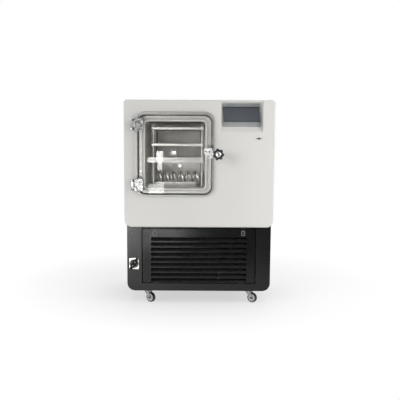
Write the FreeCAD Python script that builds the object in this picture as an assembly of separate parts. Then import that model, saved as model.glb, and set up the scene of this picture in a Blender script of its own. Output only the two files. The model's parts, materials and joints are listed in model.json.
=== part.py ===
import FreeCAD, Part

import math
import os

# Cabinet freeze dryer on casters. Millimetres, +Z up, the front faces -Y and +X is to the right.
# The origin is on the floor, under the middle of the whole outline.

# ------------------------------------------------------------------ driving sizes
# upper housing
housing_width = 830.0
housing_depth = 690.0
housing_height = 700.0
housing_top_corner = 20.0
housing_bottom_corner = 40.0
fascia_depth = 60.0
fascia_wall = 3.0
fascia_edge = 6.0
tongue_wall = 2.0
tongue_length = 8.0
tongue_clearance = 0.2
wrap_wall = 2.0
floor_duct_width = 360.0
floor_duct_depth = 110.0
floor_duct_corner = 20.0

# door and chamber mouth
door_width = 410.0
door_height = 436.0
door_thickness = 30.0
door_corner = 45.0
door_front_edge = 5.5
door_back_edge = 2.5
door_side_inset = 77.0
door_top_inset = 81.0
mouth_width = 328.0
mouth_height = 364.0
mouth_corner = 20.0
flange_side_margin = 7.0
flange_top_margin = 15.0
flange_corner = 50.0
flange_proud = 14.0
flange_fascia_gap = 2.0
groove_inset = 4.0
groove_depth = 2.0
gasket_width = 12.0
gasket_thickness = 6.7
gasket_side_clearance = 0.3
gasket_door_clearance = 0.3
frame_plate_thickness = 8.0
frame_plate_margin = 7.0
frame_plate_hinge_margin = 26.0
frame_lug_height = 80.0
frame_lug_reach = 24.0
frame_lug_corner = 12.0

# vacuum chamber and what stands in it
chamber_wall = 8.0
chamber_depth = 480.0
stiffener_width = 12.0
stiffener_height = 20.0
stiffener_count = 3
stand_tube = 40.0
stand_tube_wall = 3.0
stand_rail_height = 20.0
stand_side_inset = 20.0
stand_front_inset = 70.0
stand_rear_inset = 60.0
rack_left_gap = 31.0
rack_right_gap = 7.0
lower_shelf_side_gap = 4.0
shelf_depth = 380.0
shelf_thickness = 12.0
shelf_corner = 8.0
shelf_lip_height = 4.0
shelf_lip_width = 3.0
shelf_setback = 44.0
lower_shelf_rise = 153.0
upper_shelf_drop = 31.0
post_radius = 5.0
post_side_inset = 10.0
post_end_inset = 24.0
post_foot_radius = 9.0
post_foot_height = 5.0
post_top_rise = 14.0
coil_radius = 25.0
coil_tube_radius = 5.5
coil_turns = 6.5
coil_post_gap = 14.0
coil_rise = 59.0
coil_setback = 108.0
coil_rail_wall = 3.0
coil_rail_foot = 16.0
coil_tail_reach = 35.0
coil_tail_bend = 20.0
coil_joint_wall = 1.5
liquid_line_drop = 17.0
suction_line_rise = 136.0
pipe_outer_radius = 14.0
pipe_bore_radius = 12.5
pipe_rise = 106.0
pipe_offset_x = 14.0
pipe_flange_radius = 20.0
pipe_flange_thickness = 5.0
pipe_flange_edge = 1.7
pipe_rear_reach = 30.0

# hinges
hinge_spacing = 327.0
hinge_axis_from_door = 28.0
hinge_axis_proud = 36.0
hinge_barrel_radius = 9.5
hinge_knuckle_height = 36.0
hinge_ear_thickness = 10.0
hinge_end_clearance = 0.3
hinge_pin_radius = 5.0
hinge_running_clearance = 0.05
hinge_pin_head_radius = 7.0
hinge_pin_head_height = 3.0
hinge_pin_head_edge = 1.0
hinge_pad_left = 12.0
hinge_pad_right = 18.0
hinge_pad_thickness = 8.0
hinge_pad_edge = 2.5
block_left = 13.0
block_width = 48.0
block_height = 71.0
block_thickness = 12.0
block_corner = 9.0
block_chamfer = 2.0
bolt_column_inset = 14.0
bolt_column_spacing = 16.0
bolt_row_spacing = 46.0
door_bolt_radius = 3.0
door_bolt_head_radius = 5.0
door_bolt_head_height = 6.0
door_bolt_head_sink = 0.5
door_bolt_clearance = 0.3
door_bolt_counterbore = 5.5
door_bolt_grip = 16.0
door_bolt_hex = 5.0
door_bolt_hex_depth = 3.5
bracket_bolt_radius = 4.0
bracket_bolt_head_radius = 6.5
bracket_bolt_head_height = 8.0
bracket_bolt_clearance = 0.3
bracket_bolt_depth = 14.0

# clamp latch
knob_offset_x = 29.0
knob_rise = 5.0
latch_thickness = 12.0
latch_bar_length = 42.0
latch_bar_height = 10.0
latch_bar_rise = 23.0
latch_bar_proud = 6.0
latch_bar_edge = 2.5
latch_bar_reach = 75.0
latch_foot_drop = 21.0
latch_boss_radius = 16.0
latch_boss_proud = 2.0
latch_slot_length = 18.0
latch_slot_width = 7.0
latch_slot_depth = 8.0
latch_slot_angle = -55.0
latch_slot_offset_x = -37.0
latch_slot_offset_z = -6.0
latch_shoulder_rise = 6.0
latch_toe_left = 21.0
latch_toe_right = 35.0
latch_bolts = ((-66.0, 14.0), (-46.0, 14.0), (-52.0, -12.0))
spindle_radius = 6.0
spindle_clearance = 0.05
spindle_engagement = 10.0
spindle_tip_chamfer = 1.0
latch_post_radius = 15.0
latch_post_base_radius = 19.0
latch_post_base_thickness = 6.0
latch_post_proud = 30.0
socket_clearance = 0.8
socket_depth = 16.0
latch_post_spigot_radius = 8.0
latch_post_nut_flats = 24.0
latch_post_nut_height = 9.0
washer_radius = 13.0
washer_thickness = 3.0
knob_radius = 32.0
knob_lobe_radius = 8.0
knob_valley_radius = 9.0
knob_lobes = 7
knob_clock = 99.5
knob_thickness = 18.0
knob_edge = 2.5
knob_neck_radius = 14.0
knob_neck_length = 6.0
knob_insert_radius = 15.5
knob_insert_pocket = 6.0
knob_insert_dome = 4.0
knob_insert_dome_radius = 12.0
knob_dish_radius = 8.0
knob_dish_depth = 2.0

# control console, sunk into the top right of the housing
console_door_gap = 40.0
console_side_inset = 68.0
console_height = 171.0
console_top_depth = 134.0
console_wall = 2.0
bezel_side_gap = 8.5
bezel_height = 166.0
bezel_thickness = 7.0
bezel_corner = 6.0
bezel_chamfer = 2.0
bezel_rise = 34.0
display_side_margin = 6.5
display_height = 107.0
display_rise = 30.0
display_recess = 1.0
display_thickness = 3.0
panel_body_margin = 11.0
panel_body_height = 136.0
panel_body_depth = 38.0
panel_body_clearance = 0.5
usb_side_inset = 21.0
usb_drop = 208.0
usb_width = 15.0
usb_height = 9.0
usb_corner = 2.5
usb_proud = 2.0
usb_plug_inset = 1.0
usb_body_depth = 22.0

# lower cabinet
base_side_inset = 12.0
base_front_inset = 15.0
base_rear_inset = 15.0
base_corner = 44.0
base_wall = 2.0
base_height = 365.0
panel_stile_width = 82.0
panel_sill_rise = 42.0
panel_head_drop = 7.0
panel_opening_corner = 6.0
panel_gap = 5.0
panel_wall = 1.5
panel_flange = 10.0
sill_flange = 12.0
sill_rim_drop = 56.0
hook_width = 40.0
hook_side_inset = 77.0
hook_drop = 12.0
hook_clearance = 0.3
louvre_count = 9
louvre_side_margin = 47.0
louvre_spacing = 29.2
louvre_height = 20.8
louvre_sill = 4.0
louvre_blade_length = 20.0
louvre_blade_angle = 48.0
slider_side_inset = 68.0
slider_drop = 28.0
slider_slot_width = 16.0
slider_slot_height = 24.0
slider_travel = 7.0
slider_side_clearance = 0.3
slider_back_gap = 0.9
slider_plate_wall = 2.0
slider_plate_width = 26.0
slider_tongue_rise = 6.0
slider_recess = 0.3
slider_grip_width = 10.0
slider_grip_depth = 0.8
slider_grip_height = 1.6
slider_grip_spacing = 4.0
slider_grip_count = 3
switch_side_inset = 39.0
switch_rise = 156.0
switch_plate_width = 54.0
switch_plate_height = 63.0
switch_plate_thickness = 4.0
switch_plate_corner = 4.0
switch_plate_edge = 1.0
switch_collar_radius = 21.0
switch_collar_height = 4.0
switch_spigot_radius = 10.0
switch_spigot_depth = 30.0
switch_disc_radius = 17.0
switch_disc_thickness = 5.0
switch_running_gap = 0.3
switch_handle_length = 74.0
switch_handle_width = 15.0
switch_handle_depth = 16.0
switch_handle_corner = 6.0
switch_handle_edge = 3.0
switch_handle_angle = 57.0
switch_shaft_radius = 4.0
switch_shaft_clearance = 0.05
switch_shaft_length = 12.0

# rear of the cabinet
rear_panel_wall = 2.0
rear_panel_clearance = 0.3
rear_slot_count = 8
rear_slot_width = 200.0
rear_slot_height = 8.0
rear_slot_spacing = 18.0
rear_slot_corner = 3.9
rear_slot_side_inset = 210.0
housing_slot_rise = 80.0
base_slot_rise = 60.0
inlet_side_inset = 123.0
inlet_rise = 90.0
inlet_width = 48.0
inlet_height = 28.0
inlet_flange = 8.0
inlet_flange_thickness = 3.0
inlet_flange_corner = 4.0
inlet_body_depth = 30.0
inlet_recess_depth = 14.0
inlet_wall = 3.0
inlet_recess_corner = 3.0
inlet_pin_spacing = 10.0
inlet_pin_width = 2.0
inlet_pin_height = 6.0
inlet_pin_setback = 3.0

# refrigeration set in the lower cabinet
tray_height = 30.0
tray_wall = 3.0
tray_side_inset = 60.0
tray_front_inset = 30.0
tray_rear_inset = 40.0
condenser_width = 400.0
condenser_head_room = 43.0
condenser_depth = 60.0
condenser_side_inset = 113.0
condenser_setback = 55.0
condenser_fin_count = 24
condenser_fin_wall = 3.0
condenser_fin_depth = 14.0
shroud_depth = 45.0
shroud_wall = 2.0
fan_rim_margin = 20.0
fan_tip_clearance = 5.0
fan_hub_radius = 34.0
fan_blade_count = 5
fan_blade_wall = 3.0
fan_blade_chord = 95.0
fan_blade_angle = 28.0
fan_depth = 28.0
motor_radius = 42.0
motor_can_inset = 4.0
motor_can_edge = 8.0
motor_boss_radius = 8.0
motor_depth = 60.0
motor_arm_width = 12.0
motor_arm_thickness = 6.0
motor_shaft_radius = 4.0
motor_gap = 4.0
compressor_radius = 88.0
compressor_height = 210.0
compressor_dome = 30.0
compressor_side_inset = 193.0
compressor_foot_width = 200.0
compressor_foot_depth = 160.0
compressor_foot_wall = 5.0
compressor_foot_height = 12.0
compressor_foot_corner = 12.0
compressor_pad_radius = 12.0
compressor_pad_inset = 18.0

# swivel casters
caster_side_inset = 112.0
caster_end_inset = 66.0
caster_plate_size = 64.0
caster_plate_wall = 2.5
caster_plate_corner = 8.0
caster_plate_hole_radius = 3.3
caster_plate_hole_spacing = 46.0
caster_cup_radius = 19.0
caster_cup_bore = 16.0
caster_cup_height = 8.5
caster_race_clearance = 0.5
caster_crown_wall = 2.5
caster_crown_gap = 4.5
caster_race_height = 12.0
caster_crown_radius = 17.0
caster_cheek_wall = 2.0
caster_cheek_spacing = 24.0
caster_cheek_round = 8.0
caster_kingpin_radius = 4.0
caster_running_clearance = 0.05
caster_head_radius = 8.0
caster_head_height = 1.2
caster_head_gap = 0.3
caster_trail = 22.0
wheel_radius = 28.0
wheel_width = 20.0
tyre_thickness = 6.0
wheel_boss_radius = 7.0
wheel_side_gap = 0.3
wheel_rim_width = 3.0
wheel_dish_depth = 3.0
tyre_edge = 4.0
tyre_shoulder = 1.2
axle_radius = 3.0
axle_head_radius = 5.5
axle_head_height = 2.5

# how far apart two points may lie and still count as one
point_tolerance = 1e-4

# ------------------------------------------------------------------ shared places
wheel_hub_radius = wheel_radius - tyre_thickness
wheel_dish_radius = wheel_hub_radius - wheel_rim_width
caster_crown_z = 2 * wheel_radius + caster_crown_gap
caster_crown_top = caster_crown_z + caster_crown_wall
caster_race_top = caster_crown_top + caster_race_height
base_bottom_z = caster_race_top + caster_race_clearance + caster_plate_wall

door_back_proud = flange_proud - groove_depth + gasket_thickness + gasket_door_clearance
door_front_proud = door_back_proud + door_thickness
latch_front_proud = door_front_proud + latch_thickness + latch_boss_proud
knob_back_proud = latch_front_proud + washer_thickness
knob_front_proud = knob_back_proud + knob_neck_length + knob_thickness
front_reach = knob_front_proud + knob_insert_dome
front_y = (front_reach - housing_depth - pipe_rear_reach) / 2
rear_y = front_y + housing_depth
housing_bottom_z = base_bottom_z + base_height
housing_top_z = housing_bottom_z + housing_height
housing_corners = (housing_bottom_corner, housing_bottom_corner, housing_top_corner, housing_top_corner)
half_housing = housing_width / 2

door_left = -half_housing + door_side_inset
door_right = door_left + door_width
door_centre_x = (door_left + door_right) / 2
door_top_z = housing_top_z - door_top_inset
door_bottom_z = door_top_z - door_height
door_centre_z = (door_bottom_z + door_top_z) / 2
door_front_y = front_y - door_front_proud
door_back_y = front_y - door_back_proud
flange_left = door_left - flange_side_margin
flange_right = door_right + flange_side_margin
flange_bottom_z = door_bottom_z - flange_side_margin
flange_top_z = door_top_z + flange_top_margin
flange_front_y = front_y - flange_proud
fascia_back_y = front_y + fascia_wall
frame_back_y = fascia_back_y + frame_plate_thickness

mouth_left = door_centre_x - mouth_width / 2
mouth_right = door_centre_x + mouth_width / 2
mouth_bottom_z = door_centre_z - mouth_height / 2
mouth_top_z = door_centre_z + mouth_height / 2
chamber_back_y = flange_front_y + chamber_depth
chamber_outer_back_y = chamber_back_y + chamber_wall
chamber_under_z = mouth_bottom_z - chamber_wall

hinge_axis_x = door_left - hinge_axis_from_door
hinge_axis_y = front_y - hinge_axis_proud
hinge_levels = (door_centre_z - hinge_spacing / 2, door_centre_z + hinge_spacing / 2)
hinge_ear_z = hinge_knuckle_height / 2 + hinge_end_clearance
block_left_x = hinge_axis_x + block_left
block_front_y = door_front_y - block_thickness

knob_x = door_right + knob_offset_x
knob_z = door_centre_z + knob_rise
latch_front_y = door_front_y - latch_thickness
boss_front_y = latch_front_y - latch_boss_proud
washer_front_y = boss_front_y - washer_thickness
knob_back_y = washer_front_y - knob_neck_length
knob_front_y = knob_back_y - knob_thickness
latch_post_front_y = front_y - latch_post_proud
spindle_tip_y = latch_post_front_y + spindle_engagement

shelf_front_y = flange_front_y + shelf_setback
lower_shelf_z = mouth_bottom_z + lower_shelf_rise
upper_shelf_z = mouth_top_z - upper_shelf_drop
shelf_levels = (lower_shelf_z, (lower_shelf_z + upper_shelf_z) / 2, upper_shelf_z)
rack_left = mouth_left + rack_left_gap
rack_right = mouth_right - rack_right_gap
lower_shelf_left = mouth_left + lower_shelf_side_gap
lower_shelf_right = mouth_right - lower_shelf_side_gap
post_left_x = rack_left + post_side_inset
post_right_x = rack_right - post_side_inset
post_spots = [
    (x, y)
    for x in (post_left_x, post_right_x)
    for y in (shelf_front_y + post_end_inset, shelf_front_y + shelf_depth - post_end_inset)
]
coil_left = post_left_x - coil_post_gap
coil_right = post_right_x - coil_post_gap
coil_length = coil_right - coil_left
coil_spacing = coil_length / coil_turns
coil_y = flange_front_y + coil_setback
coil_z = mouth_bottom_z + coil_rise
tail_y = chamber_outer_back_y + coil_tail_reach
liquid_line_z = housing_bottom_z - liquid_line_drop
pipe_x = door_centre_x + pipe_offset_x
pipe_z = mouth_bottom_z + pipe_rise

console_tilt = math.atan2(console_top_depth, console_height)
console_bottom_z = housing_top_z - console_height
console_left = flange_right + console_door_gap
console_right = half_housing - console_side_inset
console_centre_x = (console_left + console_right) / 2
bezel_width = console_right - console_left - 2 * bezel_side_gap
display_width = bezel_width - 2 * display_side_margin
panel_body_width = bezel_width - 2 * panel_body_margin
usb_x = console_right - usb_side_inset

base_left = -half_housing + base_side_inset
base_right = half_housing - base_side_inset
base_front_y = front_y + base_front_inset
base_rear_y = rear_y - base_rear_inset
opening_bottom_z = base_bottom_z + panel_sill_rise
opening_top_z = housing_bottom_z - panel_head_drop
opening_half = base_right - panel_stile_width
panel_half = opening_half - panel_gap
hook_spread = panel_half - hook_side_inset
louvre_length = 2 * (panel_half - louvre_side_margin)
slider_spread = panel_half - slider_side_inset
panel_bottom_z = opening_bottom_z + panel_gap
panel_top_z = opening_top_z - panel_gap
panel_back_y = base_front_y + panel_wall
slider_z = opening_top_z - slider_drop
slider_plate_y = panel_back_y + slider_back_gap
slider_pad_height = slider_slot_height - slider_travel - 2 * slider_side_clearance
slider_pad_top = slider_z + slider_slot_height / 2 - slider_side_clearance
switch_x = base_left + switch_side_inset
switch_z = base_bottom_z + switch_rise
inlet_x = base_left + inlet_side_inset
rear_slot_x = half_housing - rear_slot_side_inset

base_floor_z = base_bottom_z + base_wall
tray_top_z = base_floor_z + tray_height
condenser_front_y = base_front_y + condenser_setback
condenser_back_y = condenser_front_y + condenser_depth
shroud_back_y = condenser_back_y + shroud_depth
condenser_x = base_left + condenser_side_inset + condenser_width / 2
condenser_height = housing_bottom_z - condenser_head_room - tray_top_z
fan_z = tray_top_z + condenser_height / 2
fan_radius = condenser_height / 2 - fan_rim_margin
compressor_x = base_right - compressor_side_inset
suction_line_z = tray_top_z + suction_line_rise

caster_x = base_right - caster_side_inset
caster_spots = {
    "front_left": (-caster_x, base_front_y + caster_end_inset, -38.0),
    "front_right": (caster_x, base_front_y + caster_end_inset, -34.0),
    "rear_left": (-caster_x, base_rear_y - caster_end_inset, -22.0),
    "rear_right": (caster_x, base_rear_y - caster_end_inset, -51.0),
}


# ------------------------------------------------------------------ shape helpers
def box(x0, x1, y0, y1, z0, z1):
    return Part.makeBox(x1 - x0, y1 - y0, z1 - z0, FreeCAD.Vector(x0, y0, z0))


def cylinder(start, direction, radius, length):
    return Part.makeCylinder(radius, length, FreeCAD.Vector(*start), FreeCAD.Vector(*direction))


def rod_y(x, z, radius, y0, y1):
    return cylinder((x, y0, z), (0, 1, 0), radius, y1 - y0)


def rod_z(x, y, radius, z0, z1):
    return cylinder((x, y, z0), (0, 0, 1), radius, z1 - z0)


def fused(shapes):
    """One solid from touching or overlapping ones, without the seams between them."""
    return shapes[0].multiFuse(shapes[1:]).removeSplitter()


def polygon_prism(points, direction):
    """Extrudes the closed outline through the 3-D points along the direction."""
    corners = [FreeCAD.Vector(*p) for p in points]
    wire = Part.makePolygon(corners + corners[:1])
    return Part.Face(wire).extrude(FreeCAD.Vector(*direction))


def rounded_outline(x0, x1, z0, z1, corners, y):
    """Rectangle in the XZ plane; corners are the radii from the lower left one, going round."""
    lower_left, lower_right, upper_right, upper_left = corners
    spots = [
        (x0, z0, lower_left, 180.0),
        (x1, z0, lower_right, 270.0),
        (x1, z1, upper_right, 0.0),
        (x0, z1, upper_left, 90.0),
    ]
    ends = []
    arcs = []
    for x, z, radius, start in spots:
        towards_x = 1 if x == x0 else -1
        towards_z = 1 if z == z0 else -1
        middle = (x + towards_x * radius, z + towards_z * radius)
        if radius > 0:
            through = []
            for turn in (0.0, 45.0, 90.0):
                angle = math.radians(start + turn)
                px = middle[0] + radius * math.cos(angle)
                pz = middle[1] + radius * math.sin(angle)
                through.append(FreeCAD.Vector(px, y, pz))
            arcs.append(Part.Arc(*through).toShape())
            ends.append((through[0], through[2]))
        else:
            corner = FreeCAD.Vector(x, y, z)
            arcs.append(None)
            ends.append((corner, corner))
    edges = []
    for i, arc in enumerate(arcs):
        if arc is not None:
            edges.append(arc)
        edges.append(Part.LineSegment(ends[i][1], ends[(i + 1) % len(ends)][0]).toShape())
    return Part.Wire(edges)


def slab(x0, x1, z0, z1, corners, y0, y1):
    """Plate with rounded corners, seen from the front, between two depths."""
    face = Part.Face(rounded_outline(x0, x1, z0, z1, corners, y0))
    return face.extrude(FreeCAD.Vector(0, y1 - y0, 0))


def even_slab(x0, x1, z0, z1, radius, y0, y1):
    return slab(x0, x1, z0, z1, (radius,) * 4, y0, y1)


def edges_at(shape, axis, value):
    """Edges that lie wholly in the plane where the coordinate has this value."""
    return [e for e in shape.Edges if all(abs(v.Point[axis] - value) < point_tolerance for v in e.Vertexes)]


def edges_along(shape, axis):
    """Straight edges that run along one axis."""
    found = []
    for edge in shape.Edges:
        ends = [v.Point for v in edge.Vertexes]
        if len(ends) == 2:
            run = ends[1] - ends[0]
            if abs(abs(run[axis]) - run.Length) < point_tolerance and run.Length > point_tolerance:
                found.append(edge)
    return found


def revolved(profile):
    """Turns an outline of (radius, height) points about the Z axis."""
    corners = [FreeCAD.Vector(r, 0, z) for r, z in profile]
    face = Part.Face(Part.makePolygon(corners + corners[:1]))
    return face.revolve(FreeCAD.Vector(0, 0, 0), FreeCAD.Vector(0, 0, 1), 360)


def turned_y(shape, x, y, z):
    """Stands a shape built about +Z on the -Y direction, with its foot at a point."""
    shape.Placement = FreeCAD.Placement(
        FreeCAD.Vector(x, y, z), FreeCAD.Rotation(FreeCAD.Vector(1, 0, 0), 90)
    )
    return shape


def bent_tube(points, bend, radius):
    """Round tube along straight runs joined by tangent arcs."""
    spots = [FreeCAD.Vector(*p) for p in points]
    edges = []
    start = spots[0]
    for before, corner, after in zip(spots, spots[1:], spots[2:]):
        inward = (before - corner).normalize()
        outward = (after - corner).normalize()
        half_turn = (math.pi - inward.getAngle(outward)) / 2
        setback = bend * math.tan(half_turn)
        first = corner + inward * setback
        last = corner + outward * setback
        bisector = (inward + outward).normalize()
        middle = corner + bisector * (bend / math.cos(half_turn) - bend)
        edges.append(Part.LineSegment(start, first).toShape())
        edges.append(Part.Arc(first, middle, last).toShape())
        start = last
    edges.append(Part.LineSegment(start, spots[-1]).toShape())
    path = Part.Wire(edges)
    ring = Part.Wire(Part.makeCircle(radius, spots[0], spots[1] - spots[0]))
    return path.makePipeShell([ring], True, True)


# ------------------------------------------------------------------ upper housing
def housing_block(inset, y0, y1):
    """The housing's outline, drawn in by an inset, between two depths."""
    corners = [radius - inset for radius in housing_corners]
    return slab(
        -half_housing + inset,
        half_housing - inset,
        housing_bottom_z + inset,
        housing_top_z - inset,
        corners,
        y0,
        y1,
    )


def rounded_housing():
    block = housing_block(0, front_y, rear_y)
    return block.makeFillet(fascia_edge, edges_at(block, 1, front_y))


def console_cut(wall):
    """Wedge open to the front and the top; its floor leans back. wall widens it all round."""
    along = (math.sin(console_tilt), math.cos(console_tilt))
    back = (math.cos(console_tilt) * wall, -math.sin(console_tilt) * wall)
    start = (front_y + back[0], console_bottom_z + back[1])
    below = fascia_depth
    above = console_height + console_top_depth
    low = (start[0] - along[0] * below, start[1] - along[1] * below)
    high = (start[0] + along[0] * above, start[1] + along[1] * above)
    outline = [
        (console_left - wall, low[0], low[1]),
        (console_left - wall, high[0], high[1]),
        (console_left - wall, low[0], high[1]),
    ]
    return polygon_prism(outline, (console_right - console_left + 2 * wall, 0, 0))


def hinge_bolt_spots():
    offset = hinge_ear_z + hinge_ear_thickness / 2
    return [level + side * offset for level in hinge_levels for side in (-1, 1)]


def front_fascia():
    shell = rounded_housing().common(housing_block(0, front_y, front_y + fascia_depth))
    shell = shell.cut(housing_block(fascia_wall, fascia_back_y, front_y + fascia_depth))
    inset = wrap_wall + tongue_clearance
    tongue_start = front_y + fascia_depth - tongue_length
    tongue_end = front_y + fascia_depth + tongue_length
    tongue = housing_block(inset, tongue_start, tongue_end)
    tongue = tongue.cut(housing_block(inset + tongue_wall, tongue_start, tongue_end))
    shell = fused([shell, tongue])
    gap = flange_fascia_gap
    mouth = even_slab(
        flange_left - gap,
        flange_right + gap,
        flange_bottom_z - gap,
        flange_top_z + gap,
        flange_corner + gap,
        front_y,
        fascia_back_y,
    )
    usb = usb_hole(0)
    spigot = rod_y(knob_x, knob_z, latch_post_spigot_radius, front_y, fascia_back_y)
    cuts = [mouth, console_cut(console_wall), usb, spigot]
    for z in hinge_bolt_spots():
        hole = bracket_bolt_radius + bracket_bolt_clearance
        cuts.append(rod_y(hinge_axis_x, z, hole, front_y, fascia_back_y))
    return shell.cut(cuts)


def housing_wrap():
    start = front_y + fascia_depth
    shell = housing_block(0, start, rear_y).cut(housing_block(wrap_wall, start, rear_y))
    duct = box(
        door_centre_x - floor_duct_width / 2,
        door_centre_x + floor_duct_width / 2,
        tail_y - floor_duct_depth / 2,
        tail_y + floor_duct_depth / 2,
        housing_bottom_z - wrap_wall,
        housing_bottom_z + 2 * wrap_wall,
    )
    duct = duct.makeFillet(floor_duct_corner, edges_along(duct, 2))
    return shell.cut([duct, console_cut(console_wall)])


def slot_rows(x, z_low, y0, y1):
    rows = []
    for i in range(rear_slot_count):
        z = z_low + i * rear_slot_spacing
        left = x - rear_slot_width / 2
        right = x + rear_slot_width / 2
        rows.append(even_slab(left, right, z, z + rear_slot_height, rear_slot_corner, y0, y1))
    return rows


def housing_rear_panel():
    start = rear_y - rear_panel_wall
    panel = housing_block(wrap_wall + rear_panel_clearance, start, rear_y)
    slots = slot_rows(rear_slot_x, housing_bottom_z + housing_slot_rise, start, rear_y)
    bore = rod_y(pipe_x, pipe_z, pipe_outer_radius + rear_panel_clearance, start, rear_y)
    return panel.cut(slots + [bore])


# ------------------------------------------------------------------ console
def on_console_floor(shape):
    """Moves a shape from its own frame, X across, Z up the floor and -Y out, onto the console."""
    origin = FreeCAD.Vector(console_centre_x, front_y, console_bottom_z)
    turn = FreeCAD.Rotation(FreeCAD.Vector(1, 0, 0), -math.degrees(console_tilt))
    shape.Placement = FreeCAD.Placement(origin, turn)
    return shape


def panel_body(clearance):
    half_width = panel_body_width / 2 + clearance
    low = bezel_rise + (bezel_height - panel_body_height) / 2 - clearance
    high = low + panel_body_height + 2 * clearance
    return box(-half_width, half_width, 0, panel_body_depth, low, high)


def console_tray():
    tray = console_cut(console_wall).cut(console_cut(0))
    tray = tray.common(rounded_housing())
    return tray.cut(on_console_floor(panel_body(panel_body_clearance)))


def screen_bezel():
    half = bezel_width / 2
    frame = even_slab(-half, half, bezel_rise, bezel_rise + bezel_height, bezel_corner, -bezel_thickness, 0)
    frame = frame.makeChamfer(bezel_chamfer, edges_at(frame, 1, -bezel_thickness))
    low = bezel_rise + display_rise
    pocket_depth = display_recess + display_thickness
    window = box(
        -display_width / 2,
        display_width / 2,
        -bezel_thickness,
        -bezel_thickness + pocket_depth,
        low,
        low + display_height,
    )
    body = fused([frame, panel_body(0)]).cut(window)
    return on_console_floor(body)


def screen_display():
    low = bezel_rise + display_rise
    start = -bezel_thickness + display_recess
    half = display_width / 2
    glass = box(-half, half, start, start + display_thickness, low, low + display_height)
    return on_console_floor(glass)


def usb_hole(proud):
    z = housing_top_z - usb_drop
    return even_slab(
        usb_x - usb_width / 2 + usb_plug_inset,
        usb_x + usb_width / 2 - usb_plug_inset,
        z - usb_height / 2 + usb_plug_inset,
        z + usb_height / 2 - usb_plug_inset,
        usb_corner - usb_plug_inset,
        front_y - proud,
        front_y + usb_body_depth,
    )


def usb_socket():
    z = housing_top_z - usb_drop
    cap = even_slab(
        usb_x - usb_width / 2,
        usb_x + usb_width / 2,
        z - usb_height / 2,
        z + usb_height / 2,
        usb_corner,
        front_y - usb_proud,
        front_y,
    )
    return fused([cap, usb_hole(usb_proud / 2)])


# ------------------------------------------------------------------ chamber
def mouth_slab(y0, y1, grow=0.0):
    """The chamber's opening, widened by grow, between two depths."""
    return even_slab(
        mouth_left - grow,
        mouth_right + grow,
        mouth_bottom_z - grow,
        mouth_top_z + grow,
        mouth_corner + grow,
        y0,
        y1,
    )


def chamber_flange():
    plate = even_slab(
        flange_left, flange_right, flange_bottom_z, flange_top_z, flange_corner, flange_front_y, fascia_back_y
    )
    groove_back = flange_front_y + groove_depth
    outer = mouth_slab(flange_front_y, groove_back, groove_inset + gasket_width + gasket_side_clearance)
    inner = mouth_slab(flange_front_y, groove_back, groove_inset - gasket_side_clearance)
    return plate.cut([mouth_slab(flange_front_y, fascia_back_y), outer.cut(inner)])


def door_frame_plate():
    margin = frame_plate_margin
    plate = even_slab(
        hinge_axis_x - frame_plate_hinge_margin,
        flange_right + margin,
        flange_bottom_z - margin,
        flange_top_z + margin,
        flange_corner,
        fascia_back_y,
        frame_back_y,
    )
    lug = even_slab(
        flange_right - flange_corner,
        knob_x + frame_lug_reach,
        knob_z - frame_lug_height / 2,
        knob_z + frame_lug_height / 2,
        frame_lug_corner,
        fascia_back_y,
        frame_back_y,
    )
    plate = fused([plate, lug])
    spigot = rod_y(knob_x, knob_z, latch_post_spigot_radius, fascia_back_y, frame_back_y)
    cuts = [mouth_slab(fascia_back_y, frame_back_y), spigot]
    for z in hinge_bolt_spots():
        hole = bracket_bolt_radius + bracket_bolt_clearance
        cuts.append(rod_y(hinge_axis_x, z, hole, fascia_back_y, frame_back_y))
    return plate.cut(cuts)


def chamber_box():
    shell = mouth_slab(frame_back_y, chamber_outer_back_y, chamber_wall)
    shell = shell.cut(mouth_slab(frame_back_y, chamber_back_y))
    length = chamber_outer_back_y - frame_back_y
    ribs = []
    for i in range(stiffener_count):
        middle = frame_back_y + length * (i + 1) / (stiffener_count + 1)
        start = middle - stiffener_width / 2
        end = middle + stiffener_width / 2
        top = mouth_top_z + chamber_wall
        left = mouth_left + mouth_corner
        right = mouth_right - mouth_corner
        ribs.append(box(left, right, start, end, top, top + stiffener_height))
    shell = fused([shell] + ribs)
    holes = [rod_y(pipe_x, pipe_z, pipe_outer_radius, chamber_back_y, chamber_outer_back_y)]
    for x, z in ((coil_left, coil_z + coil_radius), (coil_right, coil_z - coil_radius)):
        holes.append(rod_y(x, z, coil_tube_radius, chamber_back_y, chamber_outer_back_y))
    return shell.cut(holes)


def chamber_stand():
    """Four square legs under a frame of angles; it carries the chamber on the housing's floor."""
    left = mouth_left - chamber_wall + stand_side_inset
    right = mouth_right + chamber_wall - stand_side_inset
    front = frame_back_y + stand_front_inset
    rear = chamber_back_y - stand_rear_inset
    floor = housing_bottom_z + wrap_wall
    rail_bottom = chamber_under_z - stand_rail_height
    wall = stand_tube_wall
    pieces = []
    for x in (left, right - stand_tube):
        for y in (front, rear - stand_tube):
            leg = box(x, x + stand_tube, y, y + stand_tube, floor, rail_bottom)
            inside = box(x + wall, x + stand_tube - wall, y + wall, y + stand_tube - wall, floor, rail_bottom)
            pieces.append(leg.cut(inside))
    for x in (left, right - stand_tube):
        pieces.append(box(x, x + stand_tube, front, rear, rail_bottom, chamber_under_z))
    for y in (front, rear - stand_tube):
        pieces.append(box(left, right, y, y + stand_tube, rail_bottom, chamber_under_z))
    return fused(pieces)


def door_gasket():
    start = flange_front_y + groove_depth
    ring = mouth_slab(start - gasket_thickness, start, groove_inset + gasket_width)
    return ring.cut(mouth_slab(start - gasket_thickness, start, groove_inset))


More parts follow.
